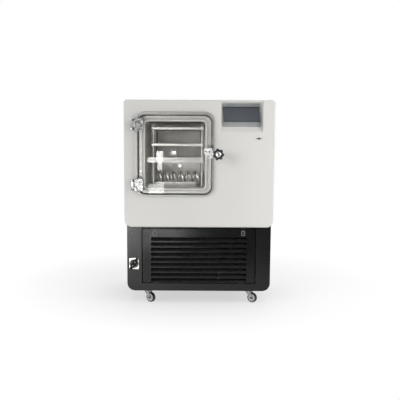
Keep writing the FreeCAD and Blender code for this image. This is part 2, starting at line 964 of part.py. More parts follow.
def shelf(level, left, right):
    rear = shelf_front_y + shelf_depth
    plate = box(left, right, shelf_front_y, rear, level - shelf_thickness, level)
    plate = plate.makeFillet(shelf_corner, edges_along(plate, 2))
    stop = box(
        left + shelf_corner,
        right - shelf_corner,
        rear - shelf_lip_width,
        rear,
        level,
        level + shelf_lip_height,
    )
    plate = fused([plate, stop])
    return plate.cut([rod_z(x, y, post_radius, level - shelf_thickness, level) for x, y in post_spots])


def shelf_posts():
    """Four rods on round feet shaped to the chamber's corners; the shelves are threaded on them."""
    top = shelf_levels[-1] + post_top_rise
    inside = mouth_slab(flange_front_y, chamber_back_y)
    rods = []
    for x, y in post_spots:
        foot = rod_z(x, y, post_foot_radius, mouth_bottom_z, mouth_bottom_z + post_foot_height)
        rod = fused([rod_z(x, y, post_radius, mouth_bottom_z, top), foot])
        rods += rod.common(inside).Solids
    return Part.makeCompound(rods)


def cold_trap_coil():
    """Helix across the chamber, brazed to two tails that go out through the rear wall."""
    helix = Part.makeHelix(coil_spacing, coil_length, coil_radius)
    helix.rotate(FreeCAD.Vector(0, 0, 0), FreeCAD.Vector(0, 0, 1), 180)
    helix.rotate(FreeCAD.Vector(0, 0, 0), FreeCAD.Vector(0, 1, 0), 90)
    helix.translate(FreeCAD.Vector(coil_left, coil_y, coil_z))
    path = Part.Wire(helix.Edges)
    start = FreeCAD.Vector(coil_left, coil_y, coil_z + coil_radius)
    slope = coil_spacing / (2 * math.pi * coil_radius)
    ring = Part.Wire(Part.makeCircle(coil_tube_radius, start, FreeCAD.Vector(slope, -1, 0)))
    turns = path.makePipeShell([ring], True, True)
    compressor_side = compressor_x - compressor_radius
    high = coil_z + coil_radius
    low = coil_z - coil_radius
    condenser_y = (condenser_front_y + condenser_back_y) / 2
    liquid = [
        (coil_left, coil_y, high),
        (coil_left, tail_y, high),
        (coil_left, tail_y, liquid_line_z),
        (coil_left, condenser_y, liquid_line_z),
        (coil_left, condenser_y, tray_top_z + condenser_height),
    ]
    suction = [
        (coil_right, coil_y, low),
        (coil_right, tail_y, low),
        (coil_right, tail_y, suction_line_z),
        (compressor_side, tail_y, suction_line_z),
    ]
    tube = coil_tube_radius
    joint = tube + coil_joint_wall
    joints = [Part.makeSphere(joint, FreeCAD.Vector(*spot)) for spot in (liquid[0], suction[0])]
    tails = [bent_tube(liquid, coil_tail_bend, tube), bent_tube(suction, coil_tail_bend, tube)]
    return fused([turns] + joints + tails)


def coil_rail():
    top = coil_z - coil_radius - coil_tube_radius
    half = coil_rail_wall / 2
    left = coil_left + coil_spacing / 2
    right = coil_right - coil_spacing / 2
    half_foot = coil_rail_foot / 2
    foot_top = mouth_bottom_z + coil_rail_wall
    foot = box(left, right, coil_y - half_foot, coil_y + half_foot, mouth_bottom_z, foot_top)
    web = box(left, right, coil_y - half, coil_y + half, mouth_bottom_z, top)
    return fused([foot, web])


def vacuum_pipe():
    end = rear_y + pipe_rear_reach
    tube = rod_y(pipe_x, pipe_z, pipe_outer_radius, chamber_back_y, end)
    rim = rod_y(pipe_x, pipe_z, pipe_flange_radius, end - pipe_flange_thickness, end)
    rim = rim.makeChamfer(pipe_flange_edge, edges_at(rim, 1, end - pipe_flange_thickness))
    body = fused([tube, rim])
    return body.cut(rod_y(pipe_x, pipe_z, pipe_bore_radius, chamber_back_y, end))


# ------------------------------------------------------------------ door
def door_bolt_spots():
    """(x, z, depth of the face the head is sunk into) of each bolt in the door."""
    spots = []
    for level in hinge_levels:
        for column in range(2):
            x = door_left + bolt_column_inset - door_bolt_head_radius + column * bolt_column_spacing
            for side in (-1, 1):
                spots.append((x, level + side * bolt_row_spacing / 2, block_front_y))
    for dx, dz in latch_bolts:
        spots.append((knob_x + dx, knob_z + dz, latch_front_y))
    return spots


def bolt_holes(face_y):
    """Stepped holes for the door's bolts that are sunk into the face at this depth."""
    seat = face_y + door_bolt_head_height + door_bolt_head_sink
    clearance = door_bolt_radius + door_bolt_clearance
    holes = []
    for x, z, y in door_bolt_spots():
        if y == face_y:
            holes.append(rod_y(x, z, door_bolt_counterbore, face_y, seat))
            holes.append(rod_y(x, z, clearance, face_y, door_front_y))
    return holes


def door_bolts():
    bolts = []
    across = door_bolt_hex / math.cos(math.pi / 6) / 2
    for x, z, y in door_bolt_spots():
        under = y + door_bolt_head_height + door_bolt_head_sink
        top = under - door_bolt_head_height
        head = rod_y(x, z, door_bolt_head_radius, top, under)
        shank = rod_y(x, z, door_bolt_radius, under, door_front_y + door_bolt_grip)
        hexagon = []
        for i in range(6):
            angle = math.radians(60 * i)
            hexagon.append((x + across * math.cos(angle), top, z + across * math.sin(angle)))
        socket = polygon_prism(hexagon, (0, door_bolt_hex_depth, 0))
        bolts.append(fused([head, shank]).cut(socket))
    return Part.makeCompound(bolts)


def door_panel():
    panel = even_slab(
        door_left, door_right, door_bottom_z, door_top_z, door_corner, door_front_y, door_back_y
    )
    panel = panel.makeChamfer(door_front_edge, edges_at(panel, 1, door_front_y))
    panel = panel.makeChamfer(door_back_edge, edges_at(panel, 1, door_back_y))
    end = door_front_y + door_bolt_grip
    return panel.cut([rod_y(x, z, door_bolt_radius, door_front_y, end) for x, z, _ in door_bolt_spots()])


def hinge_bracket(level):
    """Cabinet half of a hinge: a pad with two ears round the pin."""
    left = hinge_axis_x - hinge_pad_left
    right = hinge_axis_x + hinge_pad_right
    reach = hinge_ear_z + hinge_ear_thickness
    pad = box(left, right, front_y - hinge_pad_thickness, front_y, level - reach, level + reach)
    pad = pad.makeFillet(hinge_pad_edge, edges_at(pad, 1, front_y - hinge_pad_thickness))
    pieces = [pad]
    for low in (level - reach, level + hinge_ear_z):
        high = low + hinge_ear_thickness
        radius = hinge_barrel_radius
        arm = box(hinge_axis_x - radius, hinge_axis_x + radius, hinge_axis_y, front_y, low, high)
        pieces.append(fused([arm, rod_z(hinge_axis_x, hinge_axis_y, radius, low, high)]))
    bracket = fused(pieces)
    cuts = [rod_z(hinge_axis_x, hinge_axis_y, hinge_pin_radius, level - reach, level + reach)]
    for z in hinge_bolt_spots():
        if abs(z - level) < hinge_spacing / 2:
            cuts.append(rod_y(hinge_axis_x, z, bracket_bolt_radius, front_y - bracket_bolt_depth, front_y))
    return bracket.cut(cuts)


def hinge_block(level):
    """Door half of a hinge: a plate on the door's face, swept back into the knuckle."""
    right = block_left_x + block_width
    half = block_height / 2
    low = level - half
    high = level + half
    plate = even_slab(block_left_x, right, low, high, block_corner, block_front_y, door_front_y)
    plate = plate.makeChamfer(block_chamfer, edges_at(plate, 1, block_front_y))
    low = level - hinge_knuckle_height / 2
    radius = hinge_barrel_radius
    web = polygon_prism(
        [
            (hinge_axis_x - radius, hinge_axis_y, low),
            (hinge_axis_x - radius / 2, block_front_y + block_chamfer, low),
            (block_left_x + block_corner, block_front_y + block_chamfer, low),
            (block_left_x + block_corner, door_front_y, low),
            (hinge_axis_x + radius, hinge_axis_y, low),
        ],
        (0, 0, hinge_knuckle_height),
    )
    knuckle = rod_z(hinge_axis_x, hinge_axis_y, radius, low, low + hinge_knuckle_height)
    block = fused([plate, web, knuckle])
    bore = hinge_pin_radius + hinge_running_clearance
    holes = [hole for hole in bolt_holes(block_front_y) if abs(hole.BoundBox.Center.z - level) < half]
    return block.cut([rod_z(hinge_axis_x, hinge_axis_y, bore, low, low + hinge_knuckle_height)] + holes)


def hinge_pins():
    reach = hinge_ear_z + hinge_ear_thickness
    pins = []
    for level in hinge_levels:
        pin = rod_z(hinge_axis_x, hinge_axis_y, hinge_pin_radius, level - reach, level + reach)
        top = level + reach
        head = rod_z(hinge_axis_x, hinge_axis_y, hinge_pin_head_radius, top, top + hinge_pin_head_height)
        head = head.makeChamfer(hinge_pin_head_edge, edges_at(head, 2, top + hinge_pin_head_height))
        pins.append(fused([pin, head]))
    return Part.makeCompound(pins)


def hinge_bracket_bolts():
    bolts = []
    for z in hinge_bolt_spots():
        shank = rod_y(hinge_axis_x, z, bracket_bolt_radius, front_y - bracket_bolt_depth, frame_back_y)
        end = frame_back_y + bracket_bolt_head_height
        bolts.append(fused([shank, rod_y(hinge_axis_x, z, bracket_bolt_head_radius, frame_back_y, end)]))
    return Part.makeCompound(bolts)


# ------------------------------------------------------------------ clamp latch
def latch_bracket():
    """Cast arm: a thick bar and a tapered body on the door, reaching out to the spindle's boss."""
    left = knob_x - latch_bar_reach
    bar_right = left + latch_bar_length
    bar_bottom = knob_z + latch_bar_rise
    boss = latch_boss_radius
    foot = knob_z - latch_foot_drop
    outline = [
        (left, bar_bottom),
        (bar_right, bar_bottom),
        (knob_x, knob_z + boss),
        (knob_x, knob_z - boss),
        (left + latch_toe_right, foot),
        (left + latch_toe_left, foot),
        (left, knob_z + latch_shoulder_rise),
    ]
    body = polygon_prism([(x, latch_front_y, z) for x, z in outline], (0, latch_thickness, 0))
    round_end = rod_y(knob_x, knob_z, boss, latch_front_y, door_front_y)
    bar_front = latch_front_y - latch_bar_proud
    bar = box(left, bar_right, bar_front, door_front_y, bar_bottom, bar_bottom + latch_bar_height)
    bar = bar.makeFillet(latch_bar_edge, edges_at(bar, 1, bar_front))
    collar = rod_y(knob_x, knob_z, washer_radius, boss_front_y, latch_front_y)
    arm = fused([body, round_end, bar, collar])
    slot = slanted_slot(knob_x + latch_slot_offset_x, knob_z + latch_slot_offset_z)
    bore = rod_y(knob_x, knob_z, spindle_radius + spindle_clearance, boss_front_y, door_front_y)
    return arm.cut([slot, bore] + bolt_holes(latch_front_y))


def slanted_slot(x, z):
    reach = (latch_slot_length - latch_slot_width) / 2
    half = latch_slot_width / 2
    y1 = latch_front_y + latch_slot_depth
    middle = box(-reach, reach, latch_front_y, y1, -half, half)
    ends = [rod_y(side * reach, 0, half, latch_front_y, y1) for side in (-1, 1)]
    slot = fused([middle] + ends)
    turn = FreeCAD.Rotation(FreeCAD.Vector(0, 1, 0), -latch_slot_angle)
    slot.Placement = FreeCAD.Placement(FreeCAD.Vector(x, 0, z), turn)
    return slot


def latch_post():
    """Socket on the cabinet that the spindle's tip seats in, nutted behind the frame plate."""
    body = rod_y(knob_x, knob_z, latch_post_radius, latch_post_front_y, front_y)
    body = body.makeChamfer(spindle_tip_chamfer, edges_at(body, 1, latch_post_front_y))
    base = rod_y(knob_x, knob_z, latch_post_base_radius, front_y - latch_post_base_thickness, front_y)
    spigot = rod_y(knob_x, knob_z, latch_post_spigot_radius, front_y, frame_back_y)
    across = latch_post_nut_flats / math.cos(math.pi / 6) / 2
    hexagon = []
    for i in range(6):
        angle = math.radians(60 * i)
        hexagon.append((knob_x + across * math.cos(angle), frame_back_y, knob_z + across * math.sin(angle)))
    nut = polygon_prism(hexagon, (0, latch_post_nut_height, 0))
    socket_end = latch_post_front_y + socket_depth
    socket = rod_y(knob_x, knob_z, spindle_radius + socket_clearance, latch_post_front_y, socket_end)
    return fused([body, base, spigot, nut]).cut(socket)


def thrust_washer():
    ring = rod_y(knob_x, knob_z, washer_radius, washer_front_y, boss_front_y)
    return ring.cut(rod_y(knob_x, knob_z, spindle_radius + spindle_clearance, washer_front_y, boss_front_y))


def star_outline():
    """Wavy outline of the star knob about the origin: lobes and hollows as tangent arcs."""
    reach = knob_radius - knob_lobe_radius
    half = math.pi / knob_lobes
    joined = knob_lobe_radius + knob_valley_radius
    hollow = reach * math.cos(half) + math.sqrt(joined**2 - (reach * math.sin(half)) ** 2)
    edges = []
    for i in range(knob_lobes):
        lobe_at = math.radians(knob_clock) + 2 * half * i
        lobe = FreeCAD.Vector(reach * math.cos(lobe_at), reach * math.sin(lobe_at), 0)
        joints = []
        for side in (-1, 1):
            angle = lobe_at + side * half
            valley = FreeCAD.Vector(hollow * math.cos(angle), hollow * math.sin(angle), 0)
            joints.append(lobe + (valley - lobe).normalize() * knob_lobe_radius)
        crest = FreeCAD.Vector(knob_radius * math.cos(lobe_at), knob_radius * math.sin(lobe_at), 0)
        edges.append(Part.Arc(joints[0], crest, joints[1]).toShape())
        bottom_at = lobe_at + half
        depth = hollow - knob_valley_radius
        bottom = FreeCAD.Vector(depth * math.cos(bottom_at), depth * math.sin(bottom_at), 0)
        next_at = lobe_at + 2 * half
        next_lobe = FreeCAD.Vector(reach * math.cos(next_at), reach * math.sin(next_at), 0)
        valley = FreeCAD.Vector(hollow * math.cos(bottom_at), hollow * math.sin(bottom_at), 0)
        end = next_lobe + (valley - next_lobe).normalize() * knob_lobe_radius
        edges.append(Part.Arc(joints[1], bottom, end).toShape())
    return Part.Wire(edges)


def star_knob():
    star = Part.Face(star_outline()).extrude(FreeCAD.Vector(0, 0, knob_thickness))
    rims = edges_at(star, 2, 0) + edges_at(star, 2, knob_thickness)
    star = star.makeFillet(knob_edge, rims)
    neck = Part.makeCylinder(knob_neck_radius, knob_neck_length, FreeCAD.Vector(0, 0, -knob_neck_length))
    floor = knob_thickness - knob_insert_pocket
    pocket = Part.makeCylinder(knob_insert_radius, knob_insert_pocket, FreeCAD.Vector(0, 0, floor))
    back = FreeCAD.Vector(0, 0, -knob_neck_length)
    bore = Part.makeCylinder(spindle_radius, floor + knob_neck_length, back)
    return turned_y(fused([star, neck]).cut([pocket, bore]), knob_x, knob_back_y, knob_z)


def knob_insert():
    """Bright disc let into the knob's face, with a raised, dished middle."""
    floor = knob_thickness - knob_insert_pocket
    top = knob_thickness + knob_insert_dome
    profile = [
        (0, floor),
        (knob_insert_radius, floor),
        (knob_insert_radius, knob_thickness),
        (knob_insert_dome_radius, top),
        (knob_dish_radius, top),
        (knob_dish_radius - knob_dish_depth, top - knob_dish_depth),
        (0, top - knob_dish_depth),
    ]
    return turned_y(revolved(profile), knob_x, knob_back_y, knob_z)


def knob_spindle():
    end = knob_front_y + knob_insert_pocket
    rod = rod_y(knob_x, knob_z, spindle_radius, end, spindle_tip_y)
    return rod.makeChamfer(spindle_tip_chamfer, edges_at(rod, 1, spindle_tip_y))


# ------------------------------------------------------------------ lower cabinet
def base_block(inset, y0, y1, z_top):
    corner = base_corner - inset
    return slab(
        base_left + inset, base_right - inset, base_bottom_z + inset, z_top, (corner, corner, 0, 0), y0, y1
    )


def panel_opening(grow, y0, y1):
    return even_slab(
        -opening_half - grow,
        opening_half + grow,
        opening_bottom_z - grow,
        opening_top_z + grow,
        panel_opening_corner + grow,
        y0,
        y1,
    )


def base_shell():
    """Folded sheet body, open at the rear; its top edge follows the housing's underside."""
    above = housing_bottom_z + housing_bottom_corner
    shell = base_block(0, base_front_y, base_rear_y, above)
    shell = shell.cut(base_block(base_wall, base_front_y + base_wall, base_rear_y, above))
    back = base_front_y + sill_flange
    rim = panel_opening(base_wall, base_front_y, back)
    rim_top = opening_top_z - sill_rim_drop
    rim = rim.common(box(base_left, base_right, base_front_y, back, base_bottom_z, rim_top))
    shell = fused([shell, rim]).cut(panel_opening(0, base_front_y, back))
    spigot = rod_y(switch_x, switch_z, switch_spigot_radius, base_front_y, base_front_y + base_wall)
    return shell.cut([housing_block(0, front_y, rear_y), spigot])


def louvre_blades():
    """(slot, blade) for each row: the sheet is cut along the slot and bent in from its lower edge."""
    half = louvre_length / 2
    lean = math.radians(louvre_blade_angle)
    run = (math.sin(lean) * louvre_blade_length, math.cos(lean) * louvre_blade_length)
    root = panel_wall / math.sin(lean)
    rows = []
    for i in range(louvre_count):
        low = panel_bottom_z + louvre_sill + i * louvre_spacing
        slot = box(-half, half, base_front_y, panel_back_y, low, low + louvre_height)
        blade = polygon_prism(
            [
                (-half, base_front_y, low),
                (-half, base_front_y, low - root),
                (-half, base_front_y + run[0], low - root + run[1]),
                (-half, base_front_y + run[0], low + run[1]),
            ],
            (louvre_length, 0, 0),
        )
        rows.append((slot, blade))
    return rows


def louvre_panel():
    """Removable front grille: a folded pan with bent-in blades and two hooks over the sill."""
    pan = box(-panel_half, panel_half, base_front_y, base_front_y + panel_flange, panel_bottom_z, panel_top_z)
    wall = panel_wall
    pan = pan.makeFillet(panel_opening_corner, edges_along(pan, 1))
    hollow = even_slab(
        -panel_half + wall,
        panel_half - wall,
        panel_bottom_z + wall,
        panel_top_z - wall,
        panel_opening_corner - wall,
        panel_back_y,
        base_front_y + panel_flange,
    )
    pan = pan.cut(hollow)
    rows = louvre_blades()
    pan = pan.cut([slot for slot, _ in rows])
    hooks = []
    hook_y = base_front_y + sill_flange + hook_clearance
    for side in (-1, 1):
        x0 = side * hook_spread - hook_width / 2
        x1 = x0 + hook_width
        top = panel_bottom_z + wall
        hooks.append(box(x0, x1, base_front_y + panel_wall * 2, hook_y + wall, opening_bottom_z, top))
        hooks.append(box(x0, x1, hook_y, hook_y + wall, opening_bottom_z - hook_drop, top))
    pan = fused([pan] + [blade for _, blade in rows] + hooks)
    cuts = []
    for side in (-1, 1):
        x = side * slider_spread
        half = slider_slot_width / 2
        cuts.append(
            box(
                x - half,
                x + half,
                base_front_y,
                panel_back_y,
                slider_z - slider_slot_height / 2,
                slider_z + slider_slot_height / 2,
            )
        )
        notch = slider_plate_width / 2 + slider_side_clearance * 2
        rear = base_front_y + panel_flange
        cuts.append(box(x - notch, x + notch, panel_back_y, rear, slider_z, panel_top_z))
    return pan.cut(cuts)


def panel_slider(x):
    """Slide latch: a ribbed thumb pad in the panel's slot, and a plate with a tongue behind it."""
    half = slider_slot_width / 2 - slider_side_clearance
    low = slider_pad_top - slider_pad_height
    pad = box(x - half, x + half, base_front_y + slider_recess, slider_plate_y, low, slider_pad_top)
    plate_half = slider_plate_width / 2
    plate = box(
        x - plate_half,
        x + plate_half,
        slider_plate_y,
        slider_plate_y + slider_plate_wall,
        slider_z - slider_slot_height / 2,
        opening_top_z + slider_tongue_rise,
    )
    grips = []
    for i in range(slider_grip_count):
        z = low + slider_grip_spacing * (i + 1) - slider_grip_height / 2
        grip_half = slider_grip_width / 2
        start = base_front_y + slider_recess
        grips.append(
            box(x - grip_half, x + grip_half, start, start + slider_grip_depth, z, z + slider_grip_height)
        )
    return fused([pad, plate]).cut(grips)


def switch_plate():
    """Escutcheon of the main switch with its round collar and the body behind the sheet."""
    half_width = switch_plate_width / 2
    half_height = switch_plate_height / 2
    front = base_front_y - switch_plate_thickness
    plate = even_slab(
        switch_x - half_width,
        switch_x + half_width,
        switch_z - half_height,
        switch_z + half_height,
        switch_plate_corner,
        front,
        base_front_y,
    )
    plate = plate.makeChamfer(switch_plate_edge, edges_at(plate, 1, front))
    collar = rod_y(switch_x, switch_z, switch_collar_radius, front - switch_collar_height, front)
    spigot = rod_y(switch_x, switch_z, switch_spigot_radius, base_front_y, base_front_y + switch_spigot_depth)
    disc_room = switch_disc_radius + switch_running_gap
    room = rod_y(switch_x, switch_z, disc_room, front - switch_collar_height, front)
    hole = switch_shaft_radius + switch_shaft_clearance
    end = front + switch_shaft_length + switch_running_gap
    shaft = rod_y(switch_x, switch_z, hole, front - switch_collar_height, end)
    return fused([plate, collar, spigot]).cut([room, shaft])


def switch_handle():
    """Disc and bar of the main switch on their shaft."""
    seat = base_front_y - switch_plate_thickness - switch_running_gap
    disc = rod_y(0, 0, switch_disc_radius, seat - switch_disc_thickness, seat)
    front = seat - switch_handle_depth
    half = switch_handle_length / 2
    width = switch_handle_width / 2
    bar = box(-half, half, front, seat - switch_disc_thickness, -width, width)
    bar = bar.makeFillet(switch_handle_corner, edges_along(bar, 1))
    bar = bar.makeFillet(switch_handle_edge, edges_at(bar, 1, front))
    shaft_end = base_front_y - switch_plate_thickness + switch_shaft_length
    shaft = rod_y(0, 0, switch_shaft_radius, seat, shaft_end)
    handle = fused([disc, bar, shaft])
    turn = FreeCAD.Rotation(FreeCAD.Vector(0, 1, 0), -switch_handle_angle)
    handle.Placement = FreeCAD.Placement(FreeCAD.Vector(switch_x, 0, switch_z), turn)
    return handle


def base_rear_panel():
    start = base_rear_y - rear_panel_wall
    inset = base_wall + rear_panel_clearance
    panel = base_block(inset, start, base_rear_y, housing_bottom_z - rear_panel_clearance)
    slots = slot_rows(rear_slot_x, base_bottom_z + base_slot_rise, start, base_rear_y)
    left = inlet_x - inlet_width / 2
    low = base_bottom_z + inlet_rise - inlet_height / 2
    hole = box(left, left + inlet_width, start, base_rear_y, low, low + inlet_height)
    return panel.cut(slots + [hole])


def power_inlet():
    """Recessed mains inlet with a flange and three pins."""
    x = inlet_x
    z = base_bottom_z + inlet_rise
    half_width = inlet_width / 2
    half_height = inlet_height / 2
    body = box(
        x - half_width,
        x + half_width,
        base_rear_y - inlet_body_depth,
        base_rear_y,
        z - half_height,
        z + half_height,
    )
    flange = even_slab(
        x - half_width - inlet_flange,
        x + half_width + inlet_flange,
        z - half_height - inlet_flange,
        z + half_height + inlet_flange,
        inlet_flange_corner,
        base_rear_y,
        base_rear_y + inlet_flange_thickness,
    )
    front = base_rear_y + inlet_flange_thickness
    recess = even_slab(
        x - half_width + inlet_wall,
        x + half_width - inlet_wall,
        z - half_height + inlet_wall,
        z + half_height - inlet_wall,
        inlet_recess_corner,
        front - inlet_recess_depth,
        front,
    )
    pins = []
    root = front - inlet_recess_depth
    tip = front - inlet_pin_setback
    for step in (-1, 0, 1):
        left = x + step * inlet_pin_spacing - inlet_pin_width / 2
        low = z - inlet_pin_height / 2
        pins.append(box(left, left + inlet_pin_width, root, tip, low, low + inlet_pin_height))
    return fused([fused([body, flange]).cut(recess)] + pins)


# ------------------------------------------------------------------ refrigeration set
def chassis_tray():
    """Folded tray on the cabinet's floor that carries the cooling set."""
    left = base_left + tray_side_inset
    right = base_right - tray_side_inset
    front = base_front_y + tray_front_inset
    rear = base_rear_y - tray_rear_inset
    body = box(left, right, front, rear, base_floor_z, tray_top_z)
    inside = box(
        left + tray_wall, right - tray_wall, front, rear, base_floor_z, tray_top_z - tray_wall
    )
    return body.cut(inside)


def condenser():
    left = condenser_x - condenser_width / 2
    right = left + condenser_width
    block = box(left, right, condenser_front_y, condenser_back_y, tray_top_z, tray_top_z + condenser_height)
    pitch = (condenser_width - condenser_fin_wall) / condenser_fin_count
    gaps = []
    for i in range(condenser_fin_count):
        x = left + condenser_fin_wall + i * pitch
        gaps.append(
            box(
                x,
                x + pitch - condenser_fin_wall,
                condenser_front_y,
                condenser_front_y + condenser_fin_depth,
                tray_top_z + condenser_fin_depth,
                tray_top_z + condenser_height - condenser_fin_depth,
            )
        )
    return block.cut(gaps)


def fan_shroud():
    """Sheet duct on the condenser's back with the fan ring and the motor's three arms."""
    left = condenser_x - condenser_width / 2
    right = left + condenser_width
    top = tray_top_z + condenser_height
    wall = shroud_wall
    duct = box(left, right, condenser_back_y, shroud_back_y, tray_top_z, top)
    inner_back = shroud_back_y - wall
    inside = box(left + wall, right - wall, condenser_back_y, inner_back, tray_top_z + wall, top - wall)
    ring_outer = fan_radius + fan_tip_clearance + wall
    ring = rod_y(condenser_x, fan_z, ring_outer, shroud_back_y - wall, shroud_back_y + fan_depth)
    opening = rod_y(
        condenser_x, fan_z, fan_radius + fan_tip_clearance, condenser_back_y, shroud_back_y + fan_depth
    )
    arms = []
    arm_y = shroud_back_y + fan_depth
    for i in range(3):
        arm = box(
            motor_radius / 2,
            ring_outer,
            0,
            motor_arm_thickness,
            -motor_arm_width / 2,
            motor_arm_width / 2,
        )
        arm.Placement = FreeCAD.Placement(
            FreeCAD.Vector(condenser_x, arm_y, fan_z), FreeCAD.Rotation(FreeCAD.Vector(0, 1, 0), 90 + 120 * i)
        )
        arms.append(arm)
    seat = rod_y(condenser_x, fan_z, motor_radius, arm_y, arm_y + motor_arm_thickness)
    body = fused([duct.cut(inside), ring]).cut(opening)
    bore = rod_y(condenser_x, fan_z, motor_boss_radius, arm_y, arm_y + motor_arm_thickness)
    return fused([body, seat] + arms).cut(bore)


def fan_motor():
    """Can behind the arms; its shaft reaches forward into the rotor."""
    arm_y = shroud_back_y + fan_depth + motor_arm_thickness
    can = rod_y(condenser_x, fan_z, motor_radius - motor_can_inset, arm_y, arm_y + motor_depth)
    can = can.makeFillet(motor_can_edge, edges_at(can, 1, arm_y + motor_depth))
    boss = rod_y(condenser_x, fan_z, motor_boss_radius, arm_y - motor_arm_thickness, arm_y)
    shaft = rod_y(condenser_x, fan_z, motor_shaft_radius, shroud_back_y, arm_y)
    return fused([can, boss, shaft])


def fan_rotor():
    """Hub with pitched blades, trimmed to a circle."""
    start = shroud_back_y - motor_gap
    end = shroud_back_y + fan_depth - motor_gap
    hub = rod_y(condenser_x, fan_z, fan_hub_radius, start, end)
    blades = []
    for i in range(fan_blade_count):
        blade = box(
            fan_hub_radius / 2,
            fan_radius + fan_tip_clearance,
            -fan_blade_wall / 2,
            fan_blade_wall / 2,
            -fan_blade_chord / 2,
            fan_blade_chord / 2,
        )
        blade.rotate(FreeCAD.Vector(0, 0, 0), FreeCAD.Vector(1, 0, 0), fan_blade_angle)
        blade.rotate(FreeCAD.Vector(0, 0, 0), FreeCAD.Vector(0, 1, 0), 360 / fan_blade_count * i)
        blade.translate(FreeCAD.Vector(condenser_x, (start + end) / 2, fan_z))
        blades.append(blade)
    sweep = rod_y(condenser_x, fan_z, fan_radius, start, end)
    rotor = fused([hub] + [blade.common(sweep) for blade in blades])
    bore = motor_shaft_radius + hinge_running_clearance
    return rotor.cut(rod_y(condenser_x, fan_z, bore, start, end))


def compressor():
    """Hermetic can with domed ends on a foot plate."""
    foot_top = tray_top_z + compressor_foot_height
    foot = box(
        compressor_x - compressor_foot_width / 2,
        compressor_x + compressor_foot_width / 2,
        tail_y - compressor_foot_depth / 2,
        tail_y + compressor_foot_depth / 2,
        foot_top - compressor_foot_wall,
        foot_top,
    )
    foot = foot.makeFillet(compressor_foot_corner, edges_along(foot, 2))
    pads = []
    for side_x in (-1, 1):
        for side_y in (-1, 1):
            x = compressor_x + side_x * (compressor_foot_width / 2 - compressor_pad_inset)
            y = tail_y + side_y * (compressor_foot_depth / 2 - compressor_pad_inset)
            pads.append(rod_z(x, y, compressor_pad_radius, tray_top_z, foot_top - compressor_foot_wall))
    can = rod_z(compressor_x, tail_y, compressor_radius, foot_top, foot_top + compressor_height)
    can = can.makeFillet(compressor_dome, edges_at(can, 2, foot_top + compressor_height))
    return fused([foot, can] + pads)


# ------------------------------------------------------------------ casters
def at_caster(shape, name):
    """Moves a shape from the swivel's own frame, with the wheel trailing along +X, to its place."""
    x, y, turn = caster_spots[name]
    place = FreeCAD.Placement(FreeCAD.Vector(x, y, 0), FreeCAD.Rotation(FreeCAD.Vector(0, 0, 1), turn))
    shape.Placement = place.multiply(shape.Placement)
    return shape


def caster_plates():
    """Top plates with their race cups and the riveted kingpins, one solid for each caster."""
    half = caster_plate_size / 2
    under = base_bottom_z - caster_plate_wall
    plates = []
    for x, y, _ in caster_spots.values():
        plate = box(x - half, x + half, y - half, y + half, under, base_bottom_z)
        plate = plate.makeFillet(caster_plate_corner, edges_along(plate, 2))
        cup = rod_z(x, y, caster_cup_radius, under - caster_cup_height, under)
        cup = cup.cut(rod_z(x, y, caster_cup_bore, under - caster_cup_height, under))
        head_top = caster_crown_z - caster_head_gap
        head_bottom = head_top - caster_head_height
        pin = rod_z(x, y, caster_kingpin_radius, head_bottom, under)
        head = rod_z(x, y, caster_head_radius, head_bottom, head_top)
        holes = []
        for side_x in (-1, 1):
            for side_y in (-1, 1):
                hole_x = x + side_x * caster_plate_hole_spacing / 2
                hole_y = y + side_y * caster_plate_hole_spacing / 2
                holes.append(rod_z(hole_x, hole_y, caster_plate_hole_radius, under, base_bottom_z))
        plates.append(fused([plate, cup, pin, head]).cut(holes))
    return Part.makeCompound(plates)


def caster_fork(name):
    """Pressed fork: crown and race, two tapered cheeks and the riveted axle."""
    crown_top = caster_crown_top
    race_top = caster_race_top
    half = caster_cheek_spacing / 2
    outside = half + caster_cheek_wall
    race_radius = caster_cup_bore - caster_race_clearance
    pieces = [
        box(-caster_crown_radius, caster_crown_radius, -outside, outside, caster_crown_z, crown_top),
        rod_z(0, 0, race_radius, crown_top, race_top),
    ]
    axle_z = wheel_radius
    spread = caster_cheek_round
    for side in (-1, 1):
        y0 = half if side > 0 else -outside
        outline = [
            (-caster_crown_radius, y0, crown_top),
            (caster_crown_radius, y0, crown_top),
            (caster_trail + spread, y0, axle_z),
            (caster_trail - spread, y0, axle_z),
        ]
        pieces.append(polygon_prism(outline, (0, caster_cheek_wall, 0)))
        pieces.append(rod_y(caster_trail, axle_z, spread, y0, y0 + caster_cheek_wall))
    end = outside + axle_head_height
    pieces.append(rod_y(caster_trail, axle_z, axle_radius, -end, end))
    for y0 in (-end, outside):
        pieces.append(rod_y(caster_trail, axle_z, axle_head_radius, y0, y0 + axle_head_height))
    hole = caster_kingpin_radius + caster_running_clearance
    return at_caster(fused(pieces).cut(rod_z(0, 0, hole, caster_crown_z, race_top)), name)


def wheel_profile(points):
    """Revolves (radius, half width) points, mirrored to the other side, about the axle."""
    mirrored = [(r, -w) for r, w in reversed(points)]
    shape = revolved(points + mirrored)
    shape.rotate(FreeCAD.Vector(0, 0, 0), FreeCAD.Vector(1, 0, 0), 90)
    shape.translate(FreeCAD.Vector(caster_trail, 0, wheel_radius))
    return shape


def caster_hub(name):
    half = wheel_width / 2
    boss = caster_cheek_spacing / 2 - wheel_side_gap
    bore = axle_radius + caster_running_clearance
    profile = [
        (bore, boss),
        (wheel_boss_radius, boss),
        (wheel_boss_radius, half - wheel_dish_depth),
        (wheel_dish_radius, half - wheel_dish_depth),
        (wheel_dish_radius, half),
        (wheel_hub_radius, half),
    ]
    return at_caster(wheel_profile(profile), name)


def caster_tyre(name):
    half = wheel_width / 2
    profile = [
        (wheel_hub_radius, half),
        (wheel_radius - tyre_edge, half),
        (wheel_radius - tyre_shoulder, half - tyre_shoulder),
        (wheel_radius, half - tyre_edge),
    ]
    return at_caster(wheel_profile(profile), name)


